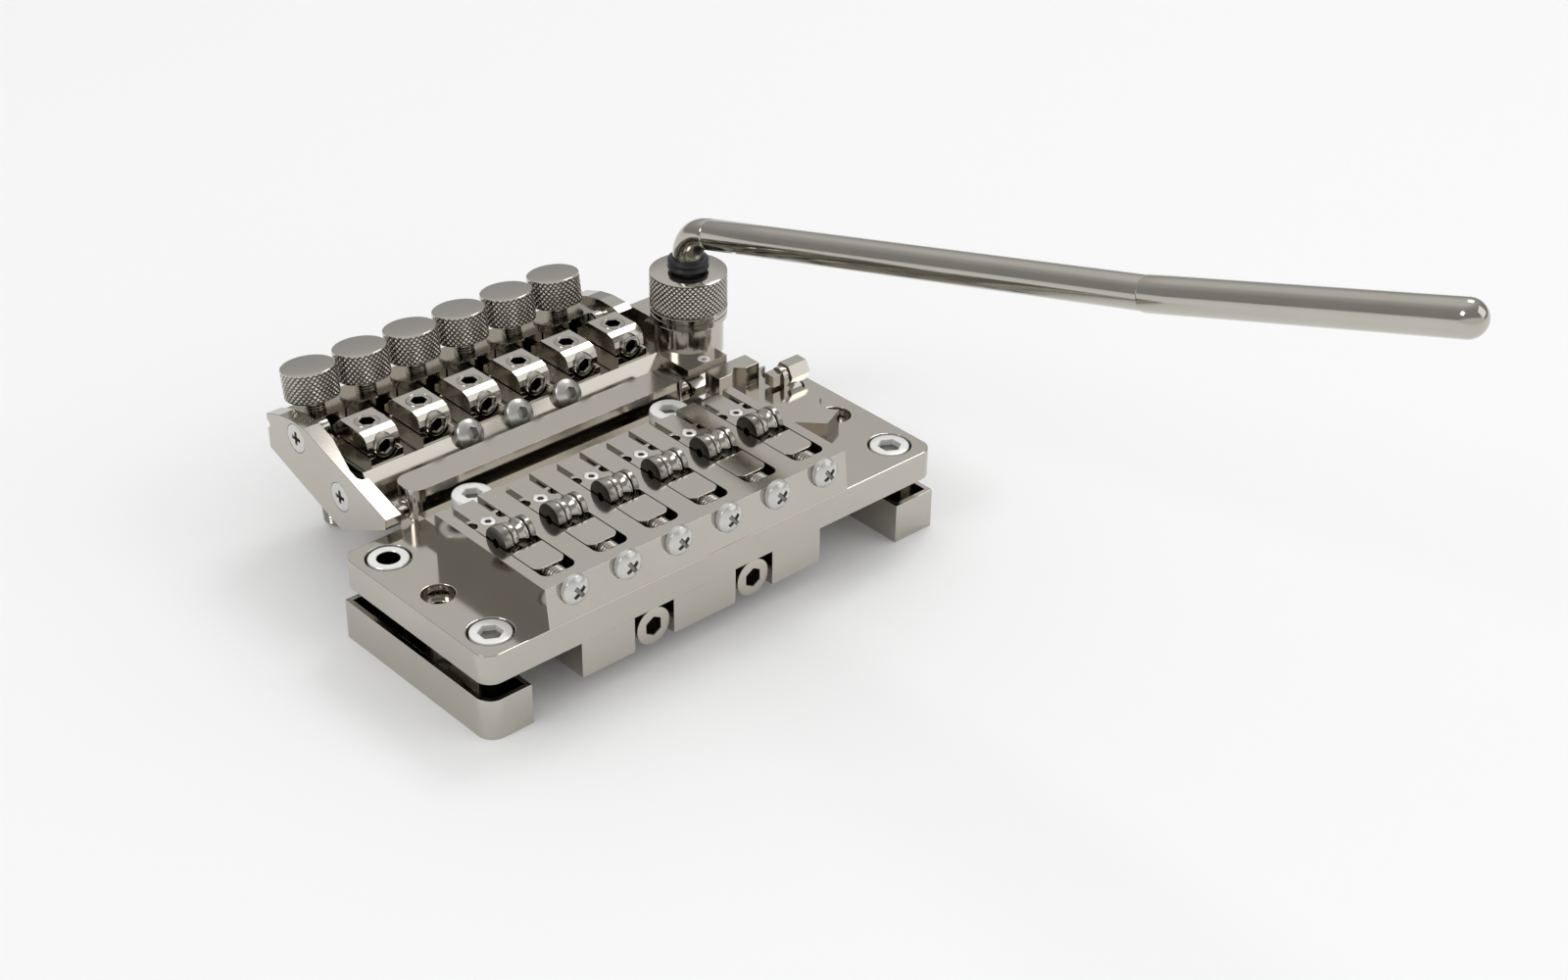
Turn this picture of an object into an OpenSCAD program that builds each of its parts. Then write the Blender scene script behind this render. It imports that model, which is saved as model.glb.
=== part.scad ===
// Six-string vibrato bridge for an electric guitar, millimetres.
// Origin: middle of the four corner screws, on the plane that the feet stand on.
// +X runs from the bass string to the treble string, +Y points away from the neck, +Z is up.

/* [Strings] */
// Distance between neighbouring strings
string_pitch = 10.5; // [10.2:0.1:10.8]
// Middle of the six strings, measured from the middle of the base plate
string_mid_x = -4.15; // [-4.6:0.05:-3.8]

/* [Base plate] */
// Width of the base plate across the strings
plate_w = 96; // [95:0.5:104]
// Depth of the base plate along the strings
plate_d = 39; // [38.5:0.5:42]
// Thickness of the base plate
plate_t = 5.4; // [4.8:0.1:7]
// Radius of the plate's upright corners
plate_corner_r = 2.8; // [1:0.1:4]
// Corner screw to the end of the plate
corner_inset_x = 5.3; // [4.8:0.1:5.6]
// Corner screw to the front or rear edge of the plate
corner_inset_y = 5.8; // [4.5:0.1:7]
// Diameter of the counterbore for a corner screw
corner_bore_d = 7.6; // [7.3:0.1:8]
// Depth of the counterbore for a corner screw
corner_bore_depth = 2.6; // [2:0.1:3.4]
// Diameter of the two plain mounting holes
mount_hole_d = 3; // [2.5:0.1:3.6]
// Diameter of the counterbore over a mounting hole
mount_bore_d = 5.5; // [4.6:0.1:6]
// Depth of the counterbore over a mounting hole
mount_bore_depth = 2.4; // [1.5:0.1:3.2]

/* [Feet] */
// Height of a foot
foot_h = 7.4; // [6.8:0.1:9]
// Width of a foot across the strings
foot_w = 8.6; // [8.3:0.1:9.4]
// Gap between the feet and the underside of the plate
foot_gap = 3.2; // [2.6:0.1:5]
// Thickness of the floor of a foot
foot_floor = 2.4; // [1.8:0.1:3.2]
// Thickness of the walls of a foot
foot_wall = 0.9; // [0.6:0.1:1.1]
// Radius of a foot's one round upright corner
foot_corner_r = 3; // [1.5:0.1:3.4]

/* [Screws] */
// Thread diameter of the corner and frame screws
screw_d = 4; // [3.6:0.1:4.2]
// Head diameter of the corner and frame screws
head_d = 7; // [6.6:0.1:7.2]
// Head height of the frame screws
frame_head_h = 2; // [1.4:0.1:2.6]
// Width across flats of the sockets in large screws
socket_af = 3; // [2:0.1:3.4]
// Width across flats of the sockets in small screws
small_af = 1.3; // [1:0.1:1.5]

/* [Saddle frame] */
// Height of the saddle frame above the plate
frame_h = 7; // [6.8:0.1:8]
// Thickness of the frame's floor under the saddles
frame_floor = 1; // [0.6:0.1:1.2]
// Front edge of the plate to the top of the frame's leaning front face
frame_inset = 0.94; // [0.5:0.02:1.2]
// Front edge of the plate to the foot of that face
frame_foot_inset = 0.1; // [0.05:0.05:0.4]
// Width of a saddle channel
channel_w = 6.5; // [6.3:0.05:6.8]
// Thickness of the frame's outer side walls
side_wall = 2; // [1.6:0.1:2.2]
// Thickness of the frame's front wall
front_wall = 2.46; // [2:0.02:3]
// Radius of the front corners of a channel
channel_r = 1.5; // [0.5:0.1:2.5]
// Depth of the rear shelf
shelf_d = 7.4; // [7.2:0.1:8]
// Height of the rear shelf above the plate
shelf_h = 2.7; // [2:0.1:2.8]
// Rear face of the frame to the middle of a frame screw
shelf_screw_y = 4.3; // [4.1:0.1:4.6]
// Shelf's inset from the sides of the frame
shelf_inset = 1.75; // [1:0.05:3]

/* [Saddles] */
// Gap between a saddle and its channel walls, each side
saddle_side_gap = 0.2; // [0.15:0.05:0.3]
// Gap under a saddle, over the floor of its channel
saddle_lift = 0.3; // [0.2:0.05:0.6]
// Length of the front pad
pad_len = 6.5; // [6:0.1:7]
// Room for the spring between the front wall and the pad
spring_room = 2.5; // [2.4:0.1:3]
// Rear of the pad to the roller's axis
pad_to_roller = 3.9; // [3.6:0.1:4.2]
// Roller's axis to the rear of the wide block
block_back = 8.1; // [7.6:0.1:8.4]
// Length of the narrow rear tongue
tongue_len = 4.8; // [4:0.1:5.2]
// Width of the narrow rear tongue
tongue_w = 4; // [3:0.1:4.4]
// Rear of the block to the end of the side flanges
flange_len = 3.8; // [2:0.1:4.2]
// Drop of the side flanges below the top of the saddle
flange_drop = 0.7; // [0.4:0.1:1]
// Roller's axis above the top of the frame
roller_rise = 0.1; // [-0.2:0.05:0.3]
// Radius of the roller
roller_r = 2.6; // [2.4:0.05:2.65]
// Radius at the bottom of the roller's string groove
groove_r = 1.9; // [1.6:0.05:2.1]
// Radius of the end discs beside the roller
disc_r = 2.75; // [2.7:0.01:2.78]
// Diameter of the roller's axle
axle_d = 1.6; // [1.2:0.1:2]
// Roller's axis to the saddle's set screw
set_screw_back = 6.2; // [5.6:0.1:6.4]
// Diameter of the saddle's set screw
set_screw_d = 2.5; // [2:0.1:2.8]
// Saddle travel towards the rear
saddle_travel = 2.5; // [1:0.5:2.5]

/* [Intonation screws] */
// Diameter of the intonation screws
into_d = 2.5; // [2:0.1:2.6]
// Head diameter of the intonation screws
into_head_d = 5.1; // [4.6:0.1:5.4]
// Head height of the intonation screws
into_head_h = 1.5; // [1.2:0.05:2]
// Depth of the screws' axes below the top of the frame
into_drop = 1.8; // [1.7:0.05:2.4]
// Wire diameter of the saddle springs
saddle_wire = 0.35; // [0.3:0.01:0.36]
// Mean radius of the saddle springs
saddle_coil_r = 1.65; // [1.6:0.01:1.8]

/* [Spring block and tension springs] */
// Width of the spring block
spring_block_w = 50.8; // [48:0.2:54]
// Height of the spring block
spring_block_h = 6.6; // [6.4:0.1:7]
// Depth of the spring block
spring_block_d = 10; // [9:0.5:12]
// Depth of the slots for the screw heads
slot_depth = 4.3; // [4.2:0.1:5]
// Width of the slots for screws and springs
slot_w = 8.1; // [7.8:0.1:8.6]
// Distance of the two tension springs from the middle string line
tension_x = 10.65; // [10:0.05:12]
// Depth of the tension screws' axes below the plate
tension_drop = 3.5; // [3.5:0.05:3.8]
// Head diameter of the tension screws
tension_head_d = 6.9; // [6:0.1:7]
// Head length of the tension screws
tension_head_h = 4; // [3.6:0.1:4]
// Diameter of the tension screws
tension_d = 4; // [3:0.1:4]
// Length of a tension screw behind its head
tension_len = 12.2; // [11:0.1:14]
// Mean radius of the tension springs
tension_coil_r = 2.7; // [2.5:0.05:2.75]
// Wire diameter of the tension springs
tension_wire = 0.9; // [0.7:0.05:0.95]

/* [Pivot block] */
// Depth of the flat bar
bar_d = 6.1; // [5.8:0.1:6.2]
// Top of the flat bar above the plate
bar_rise = 5.5; // [5:0.1:5.6]
// Gap between the bar's ends and the side plates
bar_end_gap = 2.25; // [1.8:0.05:3]
// Radius of the bar's front corners
bar_corner_r = 2.4; // [1:0.1:2.8]
// Depth of the pivot block's foot below the plate's underside
block_foot_h = 3.4; // [3:0.1:4]
// Reach of the pivot block's foot under the plate
block_foot_d = 9; // [7:0.5:11]
// Pivot axis behind the plate's rear edge
pivot_back = 3.4; // [3.3:0.05:3.6]
// Pivot axis above the top of the plate
pivot_rise = 1.2; // [1.1:0.05:1.5]
// Diameter of the pivot pins
pivot_pin_d = 2.2; // [1.8:0.1:2.4]
// Largest tilt of the tail, in degrees
tail_tilt_max = 18; // [10:1:18]

/* [Tail] */
// Thickness of the side plates
side_plate_t = 3.15; // [2.8:0.05:4]
// Front of the tail body to the pivot axis
tail_clear_r = 6.2; // [6.1:0.05:6.4]
// Top of the tail body above the pivot axis
tail_top = 4.1; // [3.8:0.1:4.4]
// Underside of the tail body below the pivot axis
tail_bottom = 5.6; // [5:0.1:6]
// Top front edge of the crosspiece behind the pivot axis
cross_front = 23; // [22.8:0.1:23.4]
// Top front edge of the crosspiece above the pivot axis
cross_top = 7; // [6.8:0.1:7.2]
// Depth of the crosspiece
cross_d = 8.7; // [8.4:0.1:9]
// Underside of the crosspiece below the pivot axis
cross_bottom = 1; // [0.8:0.1:1.1]
// Diameter of the rod on which the clamps rock
rod_d = 2; // [1.6:0.1:2.2]
// Diameter of the countersunk heads in the side plates
side_head_d = 5.2; // [4.6:0.1:5.6]
// Diameter of the domed screws
dome_d = 5.3; // [4.8:0.1:5.4]
// Height of the domed screws
dome_h = 2.2; // [1.8:0.1:2.3]
// Angle of the domed screws above level, in degrees
dome_tilt = 32; // [30:1:34]
// Diameter of the domed screws' shanks
dome_shank_d = 2.8; // [2.4:0.1:3.2]
// Length of the domed screws' shanks
dome_shank_len = 6; // [4:0.5:6]
// Reach of the side plates' screws into the tail
side_screw_reach = 2.8; // [2:0.1:4]
// Thickness of the countersunk heads in the side plates
side_head_h = 1.2; // [0.8:0.1:1.6]
// Thickness of the spring claw
claw_t = 4; // [3:0.1:4.6]
// Depth of the string relief in the inner face of a side plate
relief_depth = 1.7; // [0.8:0.1:2]
// Width of the rest stop under the tail
stop_w = 8; // [6:0.5:10]
// Height of the rest stop
stop_h = 2; // [1.5:0.1:2.6]
// Front of the spring claw behind the pivot axis
claw_front = 7.5; // [7:0.1:9]
// Lower edge of the spring claw below the pivot axis
claw_bottom = 13; // [12.6:0.1:14]

/* [Clamps] */
// Width of a clamp
clamp_w = 6.4; // [6:0.1:6.8]
// Front of a clamp behind the pivot axis
clamp_front = 8.9; // [8.7:0.1:9.1]
// Length of a clamp's jaw
clamp_len = 9.3; // [9:0.1:9.3]
// Top of a clamp above the pivot axis
clamp_top = 9.5; // [9.2:0.1:10]
// Underside of a clamp's jaw above the pivot axis
clamp_under = 6.1; // [6.1:0.05:6.3]
// Top of the ridge under a jaw above the pivot axis
ridge_top = 5.7; // [5.4:0.05:5.75]
// Height of the string barrel's axis above the pivot axis
barrel_z = 6.9; // [6.8:0.05:7.1]
// Diameter of the string barrel in the front of a jaw
barrel_d = 4.2; // [3.8:0.1:4.4]
// Length of the string barrel
barrel_len = 3; // [2.2:0.1:3.4]
// Reach of the string barrel in front of the jaw
barrel_proud = 0.6; // [0.2:0.1:1]
// Diameter of the set screw in the top of a jaw
jaw_screw_d = 4.4; // [3.8:0.1:4.6]
// Length of the set screw in the top of a jaw
jaw_screw_len = 1.6; // [1:0.1:2]
// Front of a jaw to the middle of its set screw
jaw_screw_back = 4.6; // [4.2:0.1:5]
// Width of a clamp's leg and heel
leg_w = 3.4; // [3:0.1:3.6]
// Width of the fork at the end of the heel
fork_w = 8; // [7.6:0.1:8.4]
// Gap on each side of a leg in its slot
leg_gap = 0.4; // [0.3:0.05:0.5]

/* [Knobs] */
// Diameter of a knob
knob_d = 9.8; // [9:0.1:10.2]
// Height of a knob
knob_h = 5.5; // [5:0.1:6.4]
// Gap between a knob and the crosspiece
knob_gap = 1.4; // [0.8:0.1:1.8]
// Lean of the knobs towards the rear, in degrees
knob_tilt = 8; // [7:0.5:9]
// Front edge of the crosspiece to the knob's axis, along its top
knob_back = 7; // [6.8:0.1:7.1]
// Diameter of a knob's threaded shaft
shaft_d = 3.8; // [3.4:0.1:3.9]
// Gap between the shafts' ends and the plane that the feet stand on
shaft_end_gap = 0.4; // [0.2:0.1:3]
// Diameter of the collar on a shaft
collar_d = 6.5; // [6:0.1:7]
// Thickness of the collar on a shaft
collar_h = 1.3; // [1:0.1:1.4]

/* [Arm] */
// Diameter of the arm
arm_d = 5.6; // [5:0.1:6]
// Diameter of the arm's outer stretch
arm_tip_d = 5.9; // [5.8:0.1:7]
// Height of the arm's bend corner above the pivot axis
arm_corner = 25.3; // [24.5:0.1:28]
// Radius of the arm's bend along its middle line
arm_bend_r = 6; // [5:0.1:7]
// Rise of the inner stretch of the arm, in degrees
arm_rise_1 = 13.3; // [8:0.1:18]
// Rise of the outer stretch of the arm, in degrees
arm_rise_2 = 16.2; // [10:0.1:22]
// Level length of the inner stretch
arm_len_1 = 98; // [80:1:110]
// Level length of the outer stretch
arm_len_2 = 51.4; // [40:0.2:60]
// Heading of the arm from +X, in degrees
arm_heading = -85; // [-95:1:-75]
// Arm axis outside the right side plate
arm_x_off = 4.9; // [4.8:0.1:6]
// Arm axis behind the pivot axis
arm_y_off = 8.3; // [7.8:0.1:8.6]
// Diameter of the collar nut
nut_d = 14.1; // [13:0.1:15]
// Height of the collar nut
nut_h = 9.2; // [8.6:0.1:10]
// Diameter of the neck under the collar nut
neck_d = 12.5; // [11.5:0.1:13]
// Top of the neck above the pivot axis
neck_top = 8.5; // [8.3:0.1:9]
// Top of the arm block above the pivot axis
arm_block_top = 8; // [7.6:0.1:8.2]
// Height of the arm block
arm_block_h = 8.3; // [7.6:0.1:8.8]
// Width of the arm block
arm_block_w = 13; // [12.4:0.1:14]
// Depth of the arm block
arm_block_d = 14; // [13:0.1:15]
// Top of the lug plate above the pivot axis
lug_top = 4; // [3.8:0.1:4.3]
// Thickness of the lug plate
lug_t = 1.8; // [1.4:0.1:1.8]
// Diameter of the rubber bush
bush_d = 7.5; // [7:0.1:8]
// Height of the rubber bush
bush_h = 2.3; // [1.8:0.1:2.6]

/* [Tilt lock] */
// Thickness of the lock plate
lock_t = 2.7; // [2.2:0.1:3]
// Height of the lock's upright block above the plate
lock_h = 6.6; // [6.4:0.1:7.2]
// Depth of the lock's upright block
lock_block_d = 3.8; // [3.4:0.1:4]
// Width of the lock's upright block
lock_block_w = 9.3; // [8:0.1:9.4]
// Side of the vee notch in the upright block
lock_notch = 2.2; // [1.4:0.1:2.6]
// Lock screw's axis above the plate
lock_screw_rise = 4.4; // [4.35:0.05:4.8]
// Front of the upright block to the lock screw's axis
lock_screw_front = 3.1; // [2.6:0.1:4]
// Diameter of the lock screw
lock_d = 2; // [1.6:0.1:2.2]
// Side of the lock screw's square tip
lock_tip = 2.2; // [2.05:0.05:2.3]
// Length of the lock screw's square tip
lock_tip_len = 2; // [1.4:0.1:2]
// Width across flats of the lock screw's head
lock_hex_af = 4; // [3:0.1:4.2]
// Length of the lock screw's head
lock_hex_len = 4.2; // [3.5:0.1:6]
// Thickness of the ear that holds the lock screw
lock_ear_t = 1.3; // [1:0.1:1.4]
// Width of the ear that holds the lock screw
lock_ear_w = 3.4; // [3.2:0.1:4]

/* [Hidden] */
$fn = 48;

strings = [0:5];
nickel = [0.62, 0.60, 0.57];
dark_nickel = [0.42, 0.40, 0.38];
bright = [0.86, 0.86, 0.85];
black = [0.05, 0.05, 0.05];

fit = 0.05;
seat = 0.3;
apart = 0.02;
cut = 1;

function string_x(i) = string_mid_x + (i - 2.5) * string_pitch;

// Levels and places of the base
plate_z = foot_h + foot_gap;
plate_top = plate_z + plate_t;
corner_x = plate_w / 2 - corner_inset_x;
corner_y = plate_d / 2 - corner_inset_y;
frame_w = 5 * string_pitch + channel_w + 2 * side_wall;
foot_len = plate_d - 0.4;
frame_front = -plate_d / 2 + frame_inset;
frame_foot = -plate_d / 2 + frame_foot_inset;
spot_depth = 0.05;
spot_gap = 0.1;
frame_top = plate_top + frame_h;
channel_front = frame_front + front_wall;
roller_y = channel_front + spring_room + pad_len + pad_to_roller;
saddle_w = channel_w - 2 * saddle_side_gap;
saddle_z = plate_top + frame_floor + saddle_lift;
tongue_z = plate_top + max(shelf_h, frame_floor) + 0.5;
frame_rear = roller_y + block_back + tongue_len + 0.6;
axle_disc_t = 1.6;
axle_end_t = 1;
roller_gap = 0.2;
into_z = frame_top - into_drop;
into_edge = 0.9;
into_len = front_wall + spring_room + pad_len - seat;
cross_len = 2.8;
cross_t = 0.6;
cross_depth = 0.5;
roller_z = frame_top + roller_rise;
frame_screw_xs = [string_x(0) + string_pitch / 2, string_x(4) + string_pitch / 2];
frame_screw_y = frame_rear + shelf_screw_y;
tension_xs = [string_mid_x - tension_x, string_mid_x + tension_x];
tension_z = plate_z - tension_drop;
tension_front = -plate_d / 2 + 0.3;
tension_rear = tension_front + tension_head_h + tension_len;
anchor_len = 3;
anchor_d = 6.2;
block_screw_d = 3;
block_head_d = 5;
block_head_h = 1.6;
block_screw_bite = 3;
front_screw_xs = [string_mid_x - tension_x - 9, string_mid_x, string_mid_x + tension_x + 9];
screw_side = screw_d / 2 + block_head_d / 2 + 0.9;
rear_screw_xs = [frame_screw_xs[0] - screw_side, string_mid_x, frame_screw_xs[1] + screw_side];
spring_block_screw_y = -plate_d / 2 + 6;
pivot_block_screw_y = plate_d / 2 - block_foot_d / 2;
bar_w = frame_w - 2 * bar_end_gap;
pin_in = 7;
pin_out = 2.1;
tension_curls = 19;
saddle_curls = 2;
coil_steps = 8;
coil_sides = 6;

// Levels and places of the tail, from the pivot axis
pivot_y = plate_d / 2 + pivot_back;
pivot_z = plate_top + pivot_rise;
tension_spring_len = pivot_y + claw_front - tension_rear - 2 * seat;
inner_left = string_mid_x - frame_w / 2;
inner_right = string_mid_x + frame_w / 2;
side_outline = [[-3.1, 1.2], [-2.8, -0.8], [10.8, -7.3], [31.5, -0.4],
    [31.7, 6.2], [27.4, 7.7], [24, 8.3], [20, 8.3]];
side_relief = [[16, 0], [8.7, 1], [6.9, 1], [6.2, 0.7], [6, 0]];
relief_low = 1.8;
side_notch = [31.7, 4.2];
side_notch_r = 0.75;
side_screws = [[22.7, 5.2], [10.4, -0.6]];
side_screw_d = 2.6;
boss_r = 1.8;
stop_gap = 0.15;
stop_low = -4.6;
dome_edge = [tail_clear_r - 0.15 + (tail_top - 1.4) * tan(dome_tilt), tail_top];
dome_seat = dome_edge + [-sin(dome_tilt), -cos(dome_tilt)] * 0.7;
dome_xs = [for (i = [1:3]) string_x(i) + string_pitch / 2];
dome_socket = 1;
dome_af = 2;
dome_r = dome_d * 0.72;
claw_w = 2 * tension_x + 9;
claw_hole_d = 3.2;
leg_slot_front = clamp_front + clamp_len + 0.1;
leg_slot_d = 5;
leg_d = 3;
leg_front = leg_slot_front + leg_gap;
rod_y = leg_front + leg_d / 2;
rod_z = 1.8;
heel_h = 2.4;
fork_margin = 2;
fork_slot = shaft_d + 0.8;
barrel_socket = 1.2;
barrel_af = 2;
jaw_socket = 1.1;
jaw_af = 2.4;
shaft_foot_z = shaft_end_gap - pivot_z;
knob_edge = 0.4;
knob_base_y = cross_front + knob_back * cos(knob_tilt);
knob_base_z = cross_top - knob_back * sin(knob_tilt);
collar_top_s = (knob_base_z + cross_bottom + seat) / cos(knob_tilt)
    + collar_d / 2 * tan(knob_tilt);
collar_low_z = knob_base_z - (collar_top_s + collar_h) * cos(knob_tilt)
    - collar_d / 2 * sin(knob_tilt);
heel_top = collar_low_z - seat;
shaft_at_heel_y = knob_base_y - (knob_base_z - heel_top) * tan(knob_tilt);
arm_x = inner_right + side_plate_t + arm_x_off;
arm_y = pivot_y + arm_y_off;
nut_low = pivot_z + neck_top + 0.15;
nut_top = nut_low + nut_h;
stub_d = 9.2;
stub_top = nut_top - 1.5;
arm_low = pivot_z + neck_top + 1.5;
arm_block_y = arm_y_off + 6 - arm_block_d / 2;
lug_screw_d = 2.4;
lug_screw_x = inner_right + side_plate_t + 1.9;
lug_screw_y = 0.6;
kink_lap = 0.2;
bend_lap = 0.3;
bend_relief = 0.12;

// Places of the tilt lock
lock_left = inner_right + 0.55;
lock_rear = plate_d / 2 - 1.6;
lock_right = 13.9;
lock_outline = [[0, 0], [0, -14], [5.7, -19.7], [8.5, -22.6], [lock_right, -20.1],
    [lock_right, 0]];
lock_screw_y = lock_rear - lock_block_d - lock_screw_front;
lock_screw_z = plate_top + lock_screw_rise;
lock_gap = 0.1;
lock_tip_x = lock_left + lock_block_w - 0.35;
lock_ear_x = lock_tip_x + lock_tip_len + lock_gap;
lock_hex_x = lock_ear_x + lock_ear_t + lock_gap;

// Rounded rectangle about the origin
module round_plan(w, d, r) {
    square([w - 2 * r, d], center = true);
    square([w, d - 2 * r], center = true);
    for (sx = [-1, 1], sy = [-1, 1])
        translate([sx * (w / 2 - r), sy * (d / 2 - r)]) circle(r);
}

// Outline in Y and Z, extruded along X from x0
module along_x(x0, len) {
    translate([x0, 0, 0]) rotate([90, 0, 90]) linear_extrude(len) children();
}

// Cylinder along Y from y0
module rod_y(x, y0, z, d, len) {
    translate([x, y0, z]) rotate([-90, 0, 0]) cylinder(h = len, d = d);
}

// Cylinder along X from x0
module rod_x(x0, y, z, d, len) {
    translate([x0, y, z]) rotate([0, 90, 0]) cylinder(h = len, d = d);
}

// Hexagon with the given width across flats
module hexagon(af) {
    circle(d = af / cos(30), $fn = 6);
}

// Screw along -Z: head above z = 0, thread below, hexagon socket in the head
module cap_screw(d, head, head_h, len, af) {
    difference() {
        union() {
            cylinder(h = head_h, d = head);
            translate([0, 0, -len]) cylinder(h = len, d = d);
        }
        translate([0, 0, head_h * 0.35]) linear_extrude(head_h) hexagon(af);
    }
}

// Places children at the four corner screws
module at_corners() {
    for (sx = [-1, 1], sy = [-1, 1]) translate([sx * corner_x, sy * corner_y, 0]) children();
}

// Places children at the screws of the spring block and the pivot block
module at_block_screws() {
    for (x = front_screw_xs) translate([x, spring_block_screw_y, 0]) children();
    for (x = rear_screw_xs) translate([x, pivot_block_screw_y, 0]) children();
}

// Frame of the tail: origin on the pivot axis
module on_tail() {
    translate([0, pivot_y, pivot_z]) children();
}

module base_plate() color(nickel) difference() {
    translate([0, 0, plate_z]) linear_extrude(plate_t)
        round_plan(plate_w, plate_d, plate_corner_r);
    at_corners() {
        translate([0, 0, plate_z - cut]) cylinder(h = plate_t + 2 * cut, d = screw_d + 2 * fit);
        translate([0, 0, plate_top - corner_bore_depth])
            cylinder(h = corner_bore_depth + cut, d = corner_bore_d);
    }
    for (sx = [-1, 1]) translate([sx * corner_x, 0, 0]) {
        translate([0, 0, plate_z - cut]) cylinder(h = plate_t + 2 * cut, d = mount_hole_d);
        translate([0, 0, plate_top - mount_bore_depth])
            cylinder(h = mount_bore_depth + cut, d = mount_bore_d);
    }
    for (x = frame_screw_xs)
        translate([x, frame_screw_y, plate_z - cut])
            cylinder(h = plate_t + 2 * cut, d = screw_d + 2 * fit);
    at_block_screws() translate([0, 0, plate_z - cut])
        cylinder(h = block_screw_bite + cut, d = block_screw_d + 2 * fit);
}

// Rectangle with one round corner, at the front of the left foot and the rear of the right
module foot_plan(side, w, d, r) rotate(side < 0 ? 0 : 180) {
    difference() {
        square([w, d], center = true);
        translate([-w / 2 - cut, -d / 2 - cut]) square([r + cut, r + cut]);
    }
    translate([r - w / 2, r - d / 2]) circle(r);
}

// Tray with an open top: the corner screws go through spacers into its floor
module foot(side) color(nickel) translate([side * (plate_w / 2 - foot_w / 2), 0, 0]) {
    post_x = -side * (corner_inset_x - foot_w / 2);
    difference() {
        linear_extrude(foot_h) foot_plan(side, foot_w, foot_len, foot_corner_r);
        translate([0, 0, foot_floor]) linear_extrude(foot_h)
            foot_plan(side, foot_w - 2 * foot_wall, foot_len - 2 * foot_wall,
                foot_corner_r - foot_wall);
        for (sy = [-1, 1])
            translate([post_x, sy * corner_y, -cut])
                cylinder(h = foot_floor + 2 * cut, d = screw_d + 2 * fit);
        translate([post_x, 0, -cut]) cylinder(h = foot_floor + 2 * cut, d = mount_hole_d);
    }
}

module left_foot() foot(-1);

module right_foot() foot(1);

module foot_spacers() color(dark_nickel) at_corners() {
    spacer_d = 2 * (foot_w - foot_wall - corner_inset_x) - 0.2;
    translate([0, 0, foot_floor]) difference() {
        cylinder(h = plate_z - foot_floor, d = min(spacer_d, 2 * (corner_inset_x - foot_wall) - 0.2));
        translate([0, 0, -cut]) cylinder(h = plate_z + 2 * cut, d = screw_d + 2 * fit);
    }
}

module corner_screws() color(bright) at_corners()
    translate([0, 0, plate_top - corner_bore_depth])
        cap_screw(screw_d, head_d, corner_bore_depth, plate_top - corner_bore_depth - 0.6, socket_af);

module channel(i) {
    x = string_x(i);
    length = frame_rear - channel_front + cut;
    translate([x, channel_front + length / 2, plate_top + frame_floor]) linear_extrude(frame_h) {
        round_plan(channel_w, length, channel_r);
        translate([0, channel_r]) square([channel_w, length], center = true);
    }
}

// Its front face leans back; each intonation screw's head sits on a spot face cut square in it
module saddle_frame() color(nickel) difference() {
    union() {
        along_x(inner_left, frame_w) polygon([[frame_foot, plate_top],
            [frame_front - spot_depth, frame_top], [frame_rear, frame_top],
            [frame_rear, plate_top]]);
        translate([inner_left + shelf_inset, frame_rear - cut, plate_top])
            cube([frame_w - 2 * shelf_inset, shelf_d + cut, shelf_h]);
    }
    for (i = strings) {
        channel(i);
        rod_y(string_x(i), frame_front - cut, into_z, into_d + 2 * fit, front_wall + 2 * cut);
        rod_y(string_x(i), frame_front - cut, into_z, into_head_d + 2 * spot_gap, cut);
    }
    for (x = frame_screw_xs)
        translate([x, frame_screw_y, plate_top - cut])
            cylinder(h = shelf_h + 2 * cut, d = screw_d + 2 * fit);
}

module frame_screws() color(bright)
    for (x = frame_screw_xs)
        translate([x, frame_screw_y, plate_top + shelf_h])
            cap_screw(screw_d, head_d, frame_head_h, shelf_h + plate_t - 0.8, socket_af);

module spring_block() color(nickel) difference() {
    translate([string_mid_x - spring_block_w / 2, -plate_d / 2 + 0.1, plate_z - spring_block_h])
        cube([spring_block_w, spring_block_d, spring_block_h]);
    for (x = tension_xs) {
        translate([x - slot_w / 2, -plate_d / 2 - cut, plate_z - spring_block_h - cut])
            cube([slot_w, slot_depth + cut, spring_block_h + 2 * cut]);
        rod_y(x, -plate_d / 2, tension_z, tension_d + 2 * fit, spring_block_d + cut);
    }
    at_block_screws() translate([0, 0, plate_z - spring_block_h - cut])
        cylinder(h = spring_block_h + 2 * cut, d = block_screw_d + 2 * fit);
}

// Screws from below that hold the spring block and the pivot block to the plate
module block_screws() color(bright) {
    for (x = front_screw_xs)
        translate([x, spring_block_screw_y, plate_z - spring_block_h]) mirror([0, 0, 1])
            cap_screw(block_screw_d, block_head_d, block_head_h,
                spring_block_h + block_screw_bite - 0.2, socket_af);
    for (x = rear_screw_xs)
        translate([x, pivot_block_screw_y, plate_z - block_foot_h]) mirror([0, 0, 1])
            cap_screw(block_screw_d, block_head_d, block_head_h,
                block_foot_h + block_screw_bite - 0.2, socket_af);
}

module tension_screw(k) color(bright)
    translate([tension_xs[k], tension_front + tension_head_h, tension_z]) rotate([90, 0, 0])
        cap_screw(tension_d, tension_head_d, tension_head_h, tension_len, socket_af);

// Sleeves on the tension screws, to which the springs hook
module spring_anchors() color(dark_nickel)
    for (x = tension_xs) difference() {
        rod_y(x, tension_rear - anchor_len, tension_z, anchor_d, anchor_len);
        rod_y(x, tension_rear - anchor_len - cut, tension_z, tension_d + 2 * fit, anchor_len + 2 * cut);
    }

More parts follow.
